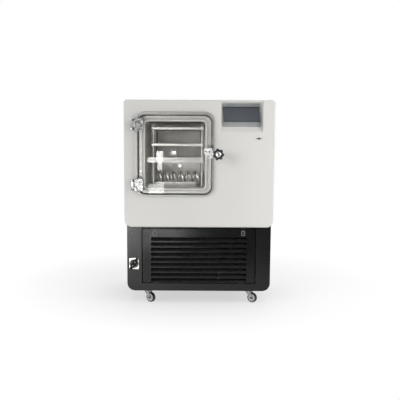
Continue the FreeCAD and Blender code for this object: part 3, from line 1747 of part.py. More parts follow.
# ------------------------------------------------------------------ all pieces
pieces = {
    "front_fascia": front_fascia(),
    "housing_wrap": housing_wrap(),
    "housing_rear_panel": housing_rear_panel(),
    "console_tray": console_tray(),
    "screen_bezel": screen_bezel(),
    "screen_display": screen_display(),
    "usb_socket": usb_socket(),
    "chamber_flange": chamber_flange(),
    "door_frame_plate": door_frame_plate(),
    "chamber_box": chamber_box(),
    "chamber_stand": chamber_stand(),
    "door_gasket": door_gasket(),
    "shelf_lower": shelf(shelf_levels[0], lower_shelf_left, lower_shelf_right),
    "shelf_middle": shelf(shelf_levels[1], rack_left, rack_right),
    "shelf_upper": shelf(shelf_levels[2], rack_left, rack_right),
    "shelf_posts": shelf_posts(),
    "cold_trap_coil": cold_trap_coil(),
    "coil_rail": coil_rail(),
    "vacuum_pipe": vacuum_pipe(),
    "door_panel": door_panel(),
    "door_bolts": door_bolts(),
    "hinge_bracket_lower": hinge_bracket(hinge_levels[0]),
    "hinge_bracket_upper": hinge_bracket(hinge_levels[1]),
    "hinge_block_lower": hinge_block(hinge_levels[0]),
    "hinge_block_upper": hinge_block(hinge_levels[1]),
    "hinge_pins": hinge_pins(),
    "hinge_bracket_bolts": hinge_bracket_bolts(),
    "latch_bracket": latch_bracket(),
    "latch_post": latch_post(),
    "thrust_washer": thrust_washer(),
    "star_knob": star_knob(),
    "knob_insert": knob_insert(),
    "knob_spindle": knob_spindle(),
    "base_shell": base_shell(),
    "base_rear_panel": base_rear_panel(),
    "power_inlet": power_inlet(),
    "louvre_panel": louvre_panel(),
    "panel_slider_left": panel_slider(-slider_spread),
    "panel_slider_right": panel_slider(slider_spread),
    "switch_plate": switch_plate(),
    "switch_handle": switch_handle(),
    "chassis_tray": chassis_tray(),
    "condenser": condenser(),
    "fan_shroud": fan_shroud(),
    "fan_motor": fan_motor(),
    "fan_rotor": fan_rotor(),
    "compressor": compressor(),
    "caster_plates": caster_plates(),
}
for spot in caster_spots:
    pieces["caster_fork_" + spot] = caster_fork(spot)
    pieces["caster_hub_" + spot] = caster_hub(spot)
    pieces["caster_tyre_" + spot] = caster_tyre(spot)

os.makedirs("parts", exist_ok=True)
for node, shape in pieces.items():
    sound = shape.isValid() and all(solid.isClosed() for solid in shape.Solids)
    if not shape.Solids or not sound:
        raise ValueError(node + " is not a closed solid")
    shape.exportStep("parts/" + node + ".step")
    print(node, len(shape.Solids), round(shape.Volume / 1000, 2))
print("nodes", len(pieces))
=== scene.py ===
"""Dresses the freeze dryer's solids: finishes, small hardware, floor, lamps and camera."""

from __future__ import annotations

import json
import logging
import math
from dataclasses import dataclass, replace
from enum import Enum
from typing import Sequence

import bmesh
import bpy
import numpy as np
from mathutils import Matrix, Vector

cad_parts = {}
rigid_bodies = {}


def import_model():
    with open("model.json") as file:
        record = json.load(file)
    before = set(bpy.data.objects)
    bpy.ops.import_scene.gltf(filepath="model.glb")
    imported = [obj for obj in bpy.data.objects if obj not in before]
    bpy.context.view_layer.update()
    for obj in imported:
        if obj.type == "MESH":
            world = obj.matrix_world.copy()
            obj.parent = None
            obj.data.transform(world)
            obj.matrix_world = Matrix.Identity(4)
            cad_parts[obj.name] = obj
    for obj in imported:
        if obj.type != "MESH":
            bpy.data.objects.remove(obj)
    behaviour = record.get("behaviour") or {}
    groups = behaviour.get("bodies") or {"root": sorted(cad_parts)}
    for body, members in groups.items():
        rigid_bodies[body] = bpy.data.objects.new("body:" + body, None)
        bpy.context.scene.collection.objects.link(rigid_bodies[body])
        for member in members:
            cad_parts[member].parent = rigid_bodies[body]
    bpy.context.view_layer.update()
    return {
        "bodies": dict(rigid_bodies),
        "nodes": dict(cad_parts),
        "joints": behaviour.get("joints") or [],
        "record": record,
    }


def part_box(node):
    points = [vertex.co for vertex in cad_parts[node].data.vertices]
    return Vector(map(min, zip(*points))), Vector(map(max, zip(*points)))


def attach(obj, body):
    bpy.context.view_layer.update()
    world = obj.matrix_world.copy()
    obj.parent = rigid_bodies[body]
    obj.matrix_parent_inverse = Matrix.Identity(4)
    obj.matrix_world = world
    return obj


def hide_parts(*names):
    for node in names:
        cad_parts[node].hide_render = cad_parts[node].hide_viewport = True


LOG = logging.getLogger("freeze_dryer")
MERGE_DISTANCE = 1e-6
SHARP_ANGLE = math.radians(35)
FRONT = (0.0, -1.0, 0.0)
REAR = (0.0, 1.0, 0.0)
UP = (0.0, 0.0, 1.0)
ACROSS = (1.0, 0.0, 0.0)
CASTERS = ("front_left", "front_right", "rear_left", "rear_right")
SHELVES = ("shelf_lower", "shelf_middle", "shelf_upper")
NOISE_RANGE = (0.3, 0.7)
STRIP_EDGE = 0.4  # rounding of a thin strip, as a share of its thickness
BAR_SHARE = 0.24  # half width of a cross's bars, as a share of its radius
TINY = 1e-6

Array = np.ndarray
Colour = tuple[float, float, float]
Pair = tuple[float, float]
Point = tuple[float, float, float]
Ring = tuple[float, float, "Outline"]
Socket = bpy.types.NodeSocket


class Slot(Enum):
    """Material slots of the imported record."""

    WHITE_PAINT = "white_paint"
    BLACK_PAINT = "black_paint"
    STAINLESS = "stainless"
    CHROME = "chrome"
    ZINC_PLATE = "zinc_plate"
    CLEAR_ACRYLIC = "clear_acrylic"
    WHITE_SILICONE = "white_silicone"
    GREY_PLASTIC = "grey_plastic"
    DISPLAY_GLASS = "display_glass"
    BLACK_PLASTIC = "black_plastic"
    BLACK_GLOSS = "black_gloss"
    TYRE_RUBBER = "tyre_rubber"
    WHEEL_NYLON = "wheel_nylon"
    COPPER_TUBE = "copper_tube"
    GALVANISED = "galvanised"
    FIN_ALUMINIUM = "fin_aluminium"
    BLACK_ENAMEL = "black_enamel"


class Outline(Enum):
    """Plan form of one ring of a turned piece."""

    ROUND = "round"
    HEX = "hex"
    CROSS = "cross"

    def factor(self, angle: Array) -> Array:
        """Radius at each angle, as a share of the ring's own radius.

        A hexagon's flat lies at the cosine of half its side's angle, divided by the cosine of the angle
        from that flat's middle. A cross is the farther of two crossed bars, each bar's edge lying at its
        half width over the sine of the angle, and never beyond the bar's end.

        Args:
            angle: angles about the axis, in radians.

        Returns:
            The factors, one for each angle.
        """
        if self is Outline.HEX:
            return math.cos(math.pi / 6) / np.cos((angle % (math.pi / 3)) - math.pi / 6)
        if self is Outline.CROSS:
            bars = [BAR_SHARE / np.maximum(np.abs(wave(angle)), TINY) for wave in (np.sin, np.cos)]
            return np.minimum(1.0, np.maximum(*bars))
        return np.ones_like(angle)


# ---- surfaces


@dataclass
class Patch:
    """Points and four-sided faces of a surface."""

    points: Array
    faces: Array


def woven(grid: Array, close_rows: bool = False, close_columns: bool = False) -> Patch:
    """Covers a grid of points with four-sided faces.

    Args:
        grid: points, rows by columns by three.
        close_rows: whether the last row joins the first.
        close_columns: whether the last column joins the first.

    Returns:
        The surface.
    """
    rows, columns = grid.shape[:2]
    index = np.arange(rows * columns).reshape(rows, columns)
    if close_rows:
        index = np.vstack([index, index[:1]])
    if close_columns:
        index = np.hstack([index, index[:, :1]])
    corners = [index[:-1, :-1], index[1:, :-1], index[1:, 1:], index[:-1, 1:]]
    return Patch(grid.reshape(-1, 3), np.stack(corners, axis=-1).reshape(-1, 4))


def placed(patch: Patch, frames: Array) -> Patch:
    """Copies a surface into each of several frames.

    Args:
        patch: the surface, about its own origin.
        frames: four-by-four matrices, one for each copy.

    Returns:
        All the copies as one surface.
    """
    points = np.einsum("kij,nj->kni", frames[:, :3, :3], patch.points) + frames[:, None, :3, 3]
    starts = np.arange(len(frames))[:, None, None] * len(patch.points)
    return Patch(points.reshape(-1, 3), (patch.faces[None] + starts).reshape(-1, 4))


def facing(spots: Sequence[Point], direction: Point, turns: Sequence[float] = (0.0,)) -> Array:
    """Frames at given spots whose +Z points along a direction.

    Args:
        spots: origins of the frames.
        direction: where +Z goes.
        turns: angles about that direction, one or as many as there are spots, in radians.

    Returns:
        The matrices, one for each spot.
    """
    ahead = np.array(direction, float) / np.linalg.norm(direction)
    helper = np.array(UP if abs(ahead[2]) < 0.9 else REAR)
    side = np.cross(helper, ahead)
    side /= np.linalg.norm(side)
    over = np.cross(ahead, side)
    angle = np.broadcast_to(np.array(turns, float), len(spots))[:, None]
    frames = np.tile(np.eye(4), (len(spots), 1, 1))
    frames[:, :3, 0] = side * np.cos(angle) + over * np.sin(angle)
    frames[:, :3, 1] = over * np.cos(angle) - side * np.sin(angle)
    frames[:, :3, 2] = ahead
    frames[:, :3, 3] = np.array(spots, float)
    return frames


def turned(rings: Sequence[Ring], sides: int = 24) -> Patch:
    """Turned form about +Z, closed at both ends.

    Each point is its ring's radius times the outline's factor, at its angle and at the ring's height.

    Args:
        rings: radius, height and outline of each ring, from one end to the other.
        sides: steps round the axis.

    Returns:
        The surface, closed by a point on the axis at each end.
    """
    angle = np.linspace(0, 2 * math.pi, sides, endpoint=False)
    radius = np.array([0.0] + [ring[0] for ring in rings] + [0.0])
    height = np.array([rings[0][1]] + [ring[1] for ring in rings] + [rings[-1][1]])
    factor = np.stack([ring[2].factor(angle) for ring in rings])
    factor = np.vstack([factor[:1], factor, factor[-1:]])
    reach = radius[:, None] * factor
    tall = np.broadcast_to(height[:, None], reach.shape)
    return woven(np.stack([reach * np.cos(angle), reach * np.sin(angle), tall], axis=-1), close_columns=True)


def round_rings(profile: Sequence[Pair]) -> list[Ring]:
    """Rings of a plain turned piece from its radii and heights."""
    return [(radius, height, Outline.ROUND) for radius, height in profile]


def loop_of(width: float, height: float, corner: float, steps: int = 8) -> Array:
    """Rounded rectangle about the origin: four quarter arcs, each about its corner's centre.

    Args:
        width: size across.
        height: size upward.
        corner: radius of the corners.
        steps: steps in each arc.

    Returns:
        The points in order, two numbers each.
    """
    arc = np.linspace(0, math.pi / 2, steps + 1)
    quarter = np.arange(4)[:, None]
    angle = (arc[None] + quarter * math.pi / 2).ravel()
    across = np.repeat([1, -1, -1, 1], steps + 1) * (width / 2 - corner)
    upward = np.repeat([1, 1, -1, -1], steps + 1) * (height / 2 - corner)
    return np.stack([across + corner * np.cos(angle), upward + corner * np.sin(angle)], axis=-1)


def front_loop(low: Vector, high: Vector, inset: float, corner: float, depth: float) -> Array:
    """Rounded rectangle inside two corners of a box, drawn in by an inset, at one depth."""
    plan = loop_of(high.x - low.x - 2 * inset, high.z - low.z - 2 * inset, corner)
    middle = (low + high) / 2
    return np.column_stack([plan[:, 0] + middle.x, np.full(len(plan), depth), plan[:, 1] + middle.z])


def swept(path: Array, section: Array, up: Point, closed: bool) -> Patch:
    """A closed section carried along a path.

    Each point is the path's point, plus the section's first number along the side of the path, which is
    square to its run and to up, plus the second number along up.

    Args:
        path: points of the path.
        section: points of the section, two numbers each.
        up: direction that the section keeps.
        closed: whether the path joins its own start.

    Returns:
        The surface; an open one is closed at both ends by the middle of its section.
    """
    if closed:
        run = np.roll(path, -1, axis=0) - np.roll(path, 1, axis=0)
    else:
        run = np.gradient(path, axis=0)
    over = np.broadcast_to(np.array(up, float), run.shape)
    side = np.cross(run, over)
    side /= np.linalg.norm(side, axis=1)[:, None]
    grid = path[:, None] + section[None, :, :1] * side[:, None] + section[None, :, 1:] * over[:, None]
    if not closed:
        ends = grid.mean(axis=1, keepdims=True)[[0, -1]]
        first, last = (np.broadcast_to(end, grid[0].shape)[None] for end in ends)
        grid = np.concatenate([first, grid, last])
    return woven(grid, close_rows=closed, close_columns=True)


def ring_section(radius: float, sides: int = 10) -> Array:
    """Points of a round section about its own middle."""
    angle = np.linspace(0, 2 * math.pi, sides, endpoint=False)
    return radius * np.stack([np.cos(angle), np.sin(angle)], axis=-1)


def block(size: Point, edge: float) -> Patch:
    """Box about its own middle with bevelled upright edges and rims.

    Its plan is a rounded rectangle; the rings draw in by the edge at the top and the bottom.

    Args:
        size: width, depth and height.
        edge: bevel.

    Returns:
        The surface.
    """
    width, depth, height = size
    plan = loop_of(width, depth, edge, 1)
    inner = plan * np.array([1 - 2 * edge / width, 1 - 2 * edge / depth])
    levels = [(inner * 0, -height / 2), (inner, -height / 2), (plan, edge - height / 2)]
    levels += [(plan, height / 2 - edge), (inner, height / 2), (inner * 0, height / 2)]
    rows = [np.column_stack([outline, np.full(len(outline), level)]) for outline, level in levels]
    return woven(np.stack(rows), close_columns=True)


# ---- finishes


class Wiring:
    """A node tree under construction: adds nodes and links them."""

    def __init__(self, tree: bpy.types.NodeTree) -> None:
        """Starts with an empty tree."""
        self.tree = tree
        self.tree.nodes.clear()

    def node(self, kind: str, inputs: dict | None = None, **settings: object) -> bpy.types.Node:
        """Adds a node.

        Args:
            kind: the node's type, without its common prefix.
            inputs: values or sockets for its inputs, by name or number.
            settings: other settings of the node.

        Returns:
            The node.
        """
        made = self.tree.nodes.new("ShaderNode" + kind)
        for name, value in settings.items():
            setattr(made, name, value)
        for name, value in (inputs or {}).items():
            self.feed(made.inputs[name], value)
        return made

    def feed(self, socket: Socket, value: object) -> None:
        """Links a socket into another, or sets it to a plain value."""
        if isinstance(value, Socket):
            self.tree.links.new(value, socket)
        else:
            socket.default_value = value

    def spread(
        self, value: object, low: float, high: float, start: float = 0.0, end: float = 1.0, **settings: str
    ) -> Socket:
        """Maps a value's range from start to end onto low to high."""
        inputs = {"Value": value, "From Min": start, "From Max": end, "To Min": low, "To Max": high}
        return self.node("MapRange", inputs, **settings).outputs[0]

    def math(self, action: str, *values: object) -> Socket:
        """One step of arithmetic."""
        return self.node("Math", dict(enumerate(values)), operation=action).outputs[0]

    def most(self, first: object, *others: object) -> Socket:
        """The largest of several values, taken two at a time."""
        for other in others:
            first = self.math("MAXIMUM", first, other)
        return first

    def rays(self, *kinds: str) -> Socket:
        """One for a ray of any of the kinds, nought for the rest."""
        path = self.node("LightPath").outputs
        return self.most(*(path[f"Is {kind} Ray"] for kind in kinds))


class Recipe(Wiring):
    """A material under construction, with the patterns that the finishes share."""

    def __init__(self, name: str) -> None:
        """Starts a material with a Principled surface and the object's own coordinates."""
        self.material = bpy.data.materials.new(name)
        self.material.use_nodes = True
        super().__init__(self.material.node_tree)
        self.output = self.node("OutputMaterial")
        self.shader = self.node("BsdfPrincipled")
        self.tree.links.new(self.shader.outputs["BSDF"], self.output.inputs["Surface"])
        self.place = self.node("TexCoord").outputs["Object"]

    def set(self, **inputs: object) -> None:
        """Sets inputs of the surface shader; an underscore stands for a space."""
        for name, value in inputs.items():
            self.feed(self.shader.inputs[name.replace("_", " ")], value)

    def noise(self, scale: float, detail: float = 2.0, stretch: Point = (1, 1, 1)) -> Socket:
        """Cloudy pattern on the object's coordinates, finer where the scale or stretch is larger."""
        mapped = self.node("Mapping", {"Vector": self.place, "Scale": stretch})
        inputs = {"Vector": mapped.outputs["Vector"], "Scale": scale, "Detail": detail}
        return self.node("TexNoise", inputs).outputs[0]

    def tones(self, noise: Socket, low: float, high: float) -> Socket:
        """Maps the range that a noise mostly keeps to onto low to high."""
        return self.spread(noise, low, high, *NOISE_RANGE)

    def mix(self, share: object, first: object, second: object) -> Socket:
        """Mixes two colours by a share."""
        inputs = {0: share, 6: self.rgba(first), 7: self.rgba(second)}
        return self.node("Mix", inputs, data_type="RGBA").outputs[2]

    def relief(self, height: object, depth: float, under: Socket) -> Socket:
        """Turns a pattern into relief of a given depth in metres, on top of another normal."""
        inputs = {"Height": height, "Distance": depth, "Strength": 1.0, "Normal": under}
        return self.node("Bump", inputs).outputs[0]

    def own_normal(self, axis: str) -> Socket:
        """How far a face points along one of the object's own axes."""
        normal = self.node("TexCoord").outputs["Normal"]
        return self.node("SeparateXYZ", {0: normal}).outputs[axis]

    def show(self, surface: Socket) -> None:
        """Links another surface to the output in the shader's place."""
        self.tree.links.new(surface, self.output.inputs["Surface"])

    def soft_edge(self, radius: float) -> Socket:
        """Normal that rounds the edges by a radius in metres."""
        return self.node("Bevel", {"Radius": radius}, samples=4).outputs[0]

    @staticmethod
    def rgba(value: object) -> object:
        """A colour with its fourth number; a socket passes as it is."""
        return (*value, 1.0) if isinstance(value, tuple) else value


def shaded(colour: Colour, factor: float) -> Colour:
    """A colour made darker or lighter by a factor."""
    red, green, blue = (min(1.0, part * factor) for part in colour)
    return (red, green, blue)


@dataclass(frozen=True)
class Finish:
    """Common part of the finishes: a name and a colour."""

    name: str
    colour: Colour

    def material(self) -> bpy.types.Material:
        """Builds the material."""
        recipe = Recipe(self.name)
        self.fill(recipe)
        return recipe.material

    def fill(self, recipe: Recipe) -> None:
        """Gives the material its nodes."""
        raise NotImplementedError


@dataclass(frozen=True)
class Paint(Finish):
    """Sprayed or powder-coated sheet: faint clouds, a fine skin and softened sheet edges."""

    roughness: float = 0.34
    cloud: float = 0.965
    skin_scale: float = 260.0
    skin_depth: float = 0.00004
    wave_depth: float = 0.0002
    edge: float = 0.001
    dust: Colour = (0.5, 0.49, 0.47)
    dust_share: float = 0.06
    shine: float = 0.5
    cloud_scale: float = 2.6
    speckle_scale: float = 90.0
    smear_scale: float = 11.0
    wave_scale: float = 5.0

    def fill(self, recipe: Recipe) -> None:
        """Builds the paint: two tones in broad clouds, dust on what faces up, and an orange-peel skin."""
        clouds = recipe.tones(recipe.noise(self.cloud_scale, 3.0, (1, 1, 0.5)), 0.0, 1.0)
        tone = recipe.mix(clouds, shaded(self.colour, self.cloud), self.colour)
        lying = recipe.spread(recipe.own_normal("Z"), 0.0, self.dust_share, 0.5, 1.0)
        speckle = recipe.spread(recipe.noise(self.speckle_scale, 4.0), 0.3, 1.6, 0.35, 0.7)
        dusty = recipe.mix(recipe.math("MULTIPLY", lying, speckle), tone, self.dust)
        smear = recipe.noise(self.smear_scale, 3.0)
        roughness = recipe.tones(smear, self.roughness - 0.015, self.roughness + 0.025)
        swell = recipe.noise(self.wave_scale, 1.0)
        wave = recipe.relief(swell, self.wave_depth, recipe.soft_edge(self.edge))
        skin = recipe.relief(recipe.noise(self.skin_scale, 2.0), self.skin_depth, wave)
        recipe.set(Base_Color=dusty, Roughness=roughness, Normal=skin, Specular_IOR_Level=self.shine)


@dataclass(frozen=True)
class BrushedMetal(Finish):
    """Sheet or plate with a grain drawn one way."""

    grain: Point = (3.0, 500.0, 500.0)
    roughness: float = 0.32
    metal: float = 1.0
    grain_depth: float = 0.00001
    edge: float = 0.0006
    cloud_scale: float = 9.0

    def fill(self, recipe: Recipe) -> None:
        """Builds the metal: fine lines along the grain, and broad clouds of handling."""
        lines = recipe.noise(1.0, 3.0, self.grain)
        clouds = recipe.noise(self.cloud_scale, 3.0)
        tone = recipe.mix(recipe.tones(lines, 0.0, 1.0), shaded(self.colour, 0.88), self.colour)
        soiled = recipe.mix(recipe.spread(clouds, 0.0, 0.25, 0.45, 0.75), tone, shaded(self.colour, 0.8))
        uneven = recipe.math("ADD", recipe.tones(lines, -0.07, 0.07), recipe.tones(clouds, -0.05, 0.05))
        rough = recipe.math("ADD", uneven, self.roughness)
        grooves = recipe.relief(lines, self.grain_depth, recipe.soft_edge(self.edge))
        recipe.set(Base_Color=soiled, Roughness=rough, Metallic=self.metal, Normal=grooves)


@dataclass(frozen=True)
class PlatedMetal(Finish):
    """Chromed or zinc-plated hardware: mottled gloss, a second tint in patches and soft edges."""

    tint: Colour = (0.74, 0.75, 0.77)
    roughness: float = 0.16
    ripple_scale: float = 70.0
    ripple_depth: float = 0.00025
    edge: float = 0.0008
    patch_scale: float = 38.0
    gloss_scale: float = 130.0

    def fill(self, recipe: Recipe) -> None:
        """Builds the plating: tinted patches, an uneven gloss and the ripple of a cast surface."""
        patches = recipe.spread(recipe.noise(self.patch_scale, 3.0), 0.0, 1.0, 0.38, 0.62)
        tone = recipe.mix(patches, self.colour, self.tint)
        mottle = recipe.noise(self.gloss_scale, 3.0)
        gloss = recipe.tones(mottle, self.roughness * 0.6, self.roughness * 1.5)
        waves = recipe.noise(self.ripple_scale, 2.0)
        ripple = recipe.relief(waves, self.ripple_depth, recipe.soft_edge(self.edge))
        recipe.set(Base_Color=tone, Roughness=gloss, Metallic=1.0, Normal=ripple)


@dataclass(frozen=True)
class Galvanised(Finish):
    """Zinc-dipped sheet with its crystal flowers."""

    flower_scale: float = 70.0
    roughness: float = 0.42
    skin_scale: float = 300.0
    skin_depth: float = 0.00003
    edge: float = 0.0006

    def fill(self, recipe: Recipe) -> None:
        """Builds the sheet: each crystal has its own tone and gloss."""
        cells = recipe.node("TexVoronoi", {"Vector": recipe.place, "Scale": self.flower_scale})
        crystal = recipe.node("SeparateColor", {0: cells.outputs["Color"]}).outputs[0]
        tone = recipe.mix(crystal, shaded(self.colour, 0.82), shaded(self.colour, 1.12))
        rough = recipe.spread(crystal, self.roughness - 0.1, self.roughness + 0.1)
        skin = recipe.relief(recipe.noise(self.skin_scale), self.skin_depth, recipe.soft_edge(self.edge))
        recipe.set(Base_Color=tone, Roughness=rough, Metallic=1.0, Normal=skin)


@dataclass(frozen=True)
class ClearPlate(Finish):
    """Thick cast acrylic that lets lamps through: faint haze, hairline scratches, rounded edges, and painted
    shade on its side faces.
    """

    shadow: Colour = (0.95, 0.945, 0.93)
    # near-black colour of the painted shade on the plate's side faces
    edge: Colour = (0.05, 0.052, 0.05)
    index: float = 1.49
    rounding: float = 0.0012
    haze_scale: float = 16.0
    stripe_scale: float = 60.0
    scratch_stretch: Point = (40.0, 40.0, 900.0)

    def fill(self, recipe: Recipe) -> None:
        """Builds the plate: a refracting surface for seeing, a plain tint for lamps and bounced light, and
        streaks of painted shade on its side faces.
        """
        hairlines = recipe.noise(1.0, 2.0, self.scratch_stretch)
        wiped = recipe.spread(recipe.noise(self.haze_scale, 4.0), 0.0, 0.05, 0.45, 0.75)
        scratch = recipe.spread(hairlines, 0.0, 0.04, 0.62, 0.75)
        recipe.set(
            Base_Color=(*self.colour, 1.0),
            Transmission_Weight=1.0,
            IOR=self.index,
            Normal=recipe.soft_edge(self.rounding),
            Roughness=recipe.math("ADD", recipe.math("ADD", wiped, scratch), 0.01),
        )
        passing = recipe.rays("Shadow", "Diffuse")
        clear = recipe.node("BsdfTransparent", {"Color": (*self.shadow, 1.0)})
        # faces square to the front get the near-black painted shade, in streaks
        painted_edge_shade = recipe.spread(recipe.math("ABSOLUTE", recipe.own_normal("Y")), 1.0, 0.0, 0.7, 0.9)
        stripes = recipe.tones(recipe.noise(self.stripe_scale, 3.0), 0.75, 1.0)
        edge = recipe.node("BsdfPrincipled", {"Base Color": (*self.edge, 1.0), "Roughness": 0.35})
        body = recipe.node(
            "MixShader",
            {0: recipe.math("MULTIPLY", painted_edge_shade, stripes), 1: recipe.shader.outputs[0], 2: edge.outputs[0]},
        )
        either = recipe.node("MixShader", {0: passing, 1: body.outputs[0], 2: clear.outputs[0]})
        recipe.show(either.outputs[0])


@dataclass(frozen=True)
class Moulded(Finish):
    """Moulded plastic or rubber: fine eroded grain, uneven gloss and worn-soft edges."""

    roughness: float = 0.48
    grain_scale: float = 900.0
    grain_depth: float = 0.00003
    edge: float = 0.0008
    worn: float = 1.25
    glow: float = 0.0
    coat: float = 0.0
    cloud_scale: float = 22.0

    def fill(self, recipe: Recipe) -> None:
        """Builds the moulding: a grain, faint clouds of tone and gloss, and light passing into pale ones."""
        clouds = recipe.noise(self.cloud_scale, 4.0)
        grain = recipe.noise(self.grain_scale, 2.0)
        tone = recipe.mix(recipe.tones(clouds, 0.0, 1.0), self.colour, shaded(self.colour, self.worn))
        rough = recipe.tones(clouds, self.roughness - 0.06, self.roughness + 0.08)
        skin = recipe.relief(grain, self.grain_depth, recipe.soft_edge(self.edge))
        recipe.set(Base_Color=tone, Roughness=rough, Normal=skin, Coat_Weight=self.coat, Coat_Roughness=0.08)
        if self.glow:
            recipe.set(Subsurface_Weight=self.glow, Subsurface_Scale=0.5)
            recipe.set(Subsurface_Radius=(0.004, 0.003, 0.003))


@dataclass(frozen=True)
class ScreenGlass(Finish):
    """Unlit display under glass: a faint vertical fade and finger smears."""

    lower: Colour = (0.085, 0.1, 0.125)
    fade_heights: Pair = (1.02, 1.1)
    cell_scale: float = 900.0
    smear_scale: float = 30.0

    def fill(self, recipe: Recipe) -> None:
        """Builds the screen: its colour fades downward, and smears change only its gloss."""
        height = recipe.node("SeparateXYZ", {0: recipe.place}).outputs["Z"]
        fade = recipe.spread(height, 0.0, 1.0, *self.fade_heights)
        cells = recipe.spread(recipe.noise(self.cell_scale, 1.0), 0.0, 0.12)
        tone = recipe.mix(fade, self.lower, self.colour)
        recipe.set(
            Base_Color=recipe.mix(cells, tone, shaded(self.colour, 0.6)),
            Roughness=recipe.spread(recipe.noise(self.smear_scale, 5.0), 0.06, 0.24, 0.35, 0.75),
            Coat_Weight=1.0,
            Coat_Roughness=0.04,
        )


POWDER_COAT = Paint(
    "black_powder_coat", (0.005, 0.0051, 0.0052), roughness=0.28, cloud=0.8, skin_scale=700.0,
    skin_depth=0.00006, wave_depth=0.0001, dust=(0.16, 0.16, 0.155), dust_share=0.2, shine=0.36,
)
PALE_SILICONE = Moulded("silicone_white", (0.9, 0.9, 0.88), 0.36, 500.0, 0.00002, 0.001, 0.95, 0.25)
ENAMEL = Paint(
    "black_enamel_coat", (0.014, 0.014, 0.015), roughness=0.24, cloud=0.8, skin_scale=120.0,
    skin_depth=0.00008, dust=(0.12, 0.12, 0.115), dust_share=0.12,
)
FINISHES: dict[Slot, Finish] = {
    Slot.WHITE_PAINT: Paint("white_paint_coat", (0.84, 0.831, 0.803), 0.5),
    Slot.BLACK_PAINT: POWDER_COAT,
    Slot.STAINLESS: BrushedMetal("stainless_brushed", (0.62, 0.62, 0.61)),
    Slot.CHROME: PlatedMetal("chrome_plating", (0.9, 0.9, 0.9), (0.62, 0.62, 0.62), 0.2, 55.0, 0.0012),
    Slot.ZINC_PLATE: PlatedMetal("zinc_plating", (0.68, 0.7, 0.71), (0.72, 0.7, 0.62), 0.3, 120.0, 0.00006),
    Slot.CLEAR_ACRYLIC: ClearPlate("acrylic_clear", (0.985, 0.982, 0.97)),
    Slot.WHITE_SILICONE: PALE_SILICONE,
    Slot.GREY_PLASTIC: Moulded("bezel_grey", (0.34, 0.352, 0.355), 0.46),
    Slot.DISPLAY_GLASS: ScreenGlass("display_dark", (0.07, 0.085, 0.11)),
    Slot.BLACK_PLASTIC: Moulded("plastic_black", (0.02, 0.02, 0.021), 0.42),
    Slot.BLACK_GLOSS: Moulded(
        "phenolic_black", (0.012, 0.012, 0.013), 0.2, 300.0, 0.00001, 0.001, 1.5, coat=0.6
    ),
    Slot.TYRE_RUBBER: Moulded("tyre_black", (0.014, 0.014, 0.0145), 0.66, 700.0, 0.00008),
    Slot.WHEEL_NYLON: Moulded("nylon_pale", (0.68, 0.68, 0.66), 0.36, 400.0, 0.00002, 0.0008, 0.92, 0.15),
    Slot.COPPER_TUBE: PlatedMetal("tube_drawn", (0.88, 0.88, 0.86), (0.6, 0.6, 0.58), 0.2, 160.0, 0.00003),
    Slot.GALVANISED: Galvanised("sheet_galvanised", (0.55, 0.56, 0.57)),
    Slot.FIN_ALUMINIUM: BrushedMetal("fin_rolled", (0.6, 0.61, 0.62), (300.0, 300.0, 8.0), 0.36),
    Slot.BLACK_ENAMEL: ENAMEL,
}

UPRIGHT_GRAIN = BrushedMetal("stainless_upright", (0.6, 0.6, 0.59), (500.0, 500.0, 3.0), 0.36)
RING_STEEL = BrushedMetal("stainless_ring", (0.5, 0.495, 0.48), (60.0, 500.0, 60.0), 0.5)
# paler, partly diffuse copy of the stainless: painted light for the chamber's shaded lining
LIT_LINING = BrushedMetal("stainless_lining_painted_light", (0.95, 0.94, 0.91), (500.0, 500.0, 3.0), 0.42, 0.82)
# grey copy of the white silicone, painting shade on the door gasket
SHADED_SILICONE = Moulded("silicone_painted_shade", (0.5, 0.5, 0.49), 0.4, 500.0, 0.00002, 0.001, 0.95)
PANEL_BLACK = replace(
    POWDER_COAT, name="black_panel_coat", colour=(0.0035, 0.0036, 0.0037), roughness=0.22, shine=0.32
)
HANDLE_BLACK = Paint(
    "handle_black", (0.005, 0.005, 0.0052), roughness=0.4, cloud=0.7, skin_scale=500.0,
    skin_depth=0.00003, wave_depth=0.0001, dust=(0.08, 0.08, 0.08), dust_share=0.1, shine=0.15,
)
FORK_ZINC = PlatedMetal("zinc_dull", (0.3, 0.31, 0.32), (0.42, 0.42, 0.4), 0.34, 120.0, 0.00006)
SATIN = PlatedMetal("chrome_satin", (0.6, 0.6, 0.59), (0.14, 0.14, 0.14), 0.36, 45.0, 0.0014, 0.0008, 75.0)
BRIGHT_SATIN = PlatedMetal("chrome_bright", (0.97, 0.97, 0.96), (0.85, 0.85, 0.84), 0.5, 45.0, 0.0004)
POST_STEEL = BrushedMetal("stainless_rod", (0.4, 0.4, 0.39), (500.0, 500.0, 3.0), 0.5)
SHELF_STEEL = BrushedMetal("stainless_shelf", (0.74, 0.73, 0.71), (3.0, 500.0, 500.0), 0.4)
DARK_FINS = BrushedMetal("fin_blackened", (0.03, 0.03, 0.032), (300.0, 300.0, 8.0), 0.5)
NODE_FINISHES: dict[str, Finish] = {
    "chamber_box": LIT_LINING,
    "door_frame_plate": UPRIGHT_GRAIN,
    "chamber_flange": RING_STEEL,
    "condenser": DARK_FINS,
    **{f"hinge_{part}_{end}": SATIN for part in ("bracket", "block") for end in ("lower", "upper")},
    "latch_bracket": BRIGHT_SATIN,
    "latch_post": BRIGHT_SATIN,
    "door_gasket": SHADED_SILICONE,
    "louvre_panel": PANEL_BLACK,
    "switch_handle": HANDLE_BLACK,
    "caster_plates": FORK_ZINC,
    **{f"caster_fork_{spot}": FORK_ZINC for spot in CASTERS},
    "shelf_posts": POST_STEEL,
    **dict.fromkeys(SHELVES, SHELF_STEEL),
}


# ---- workshop


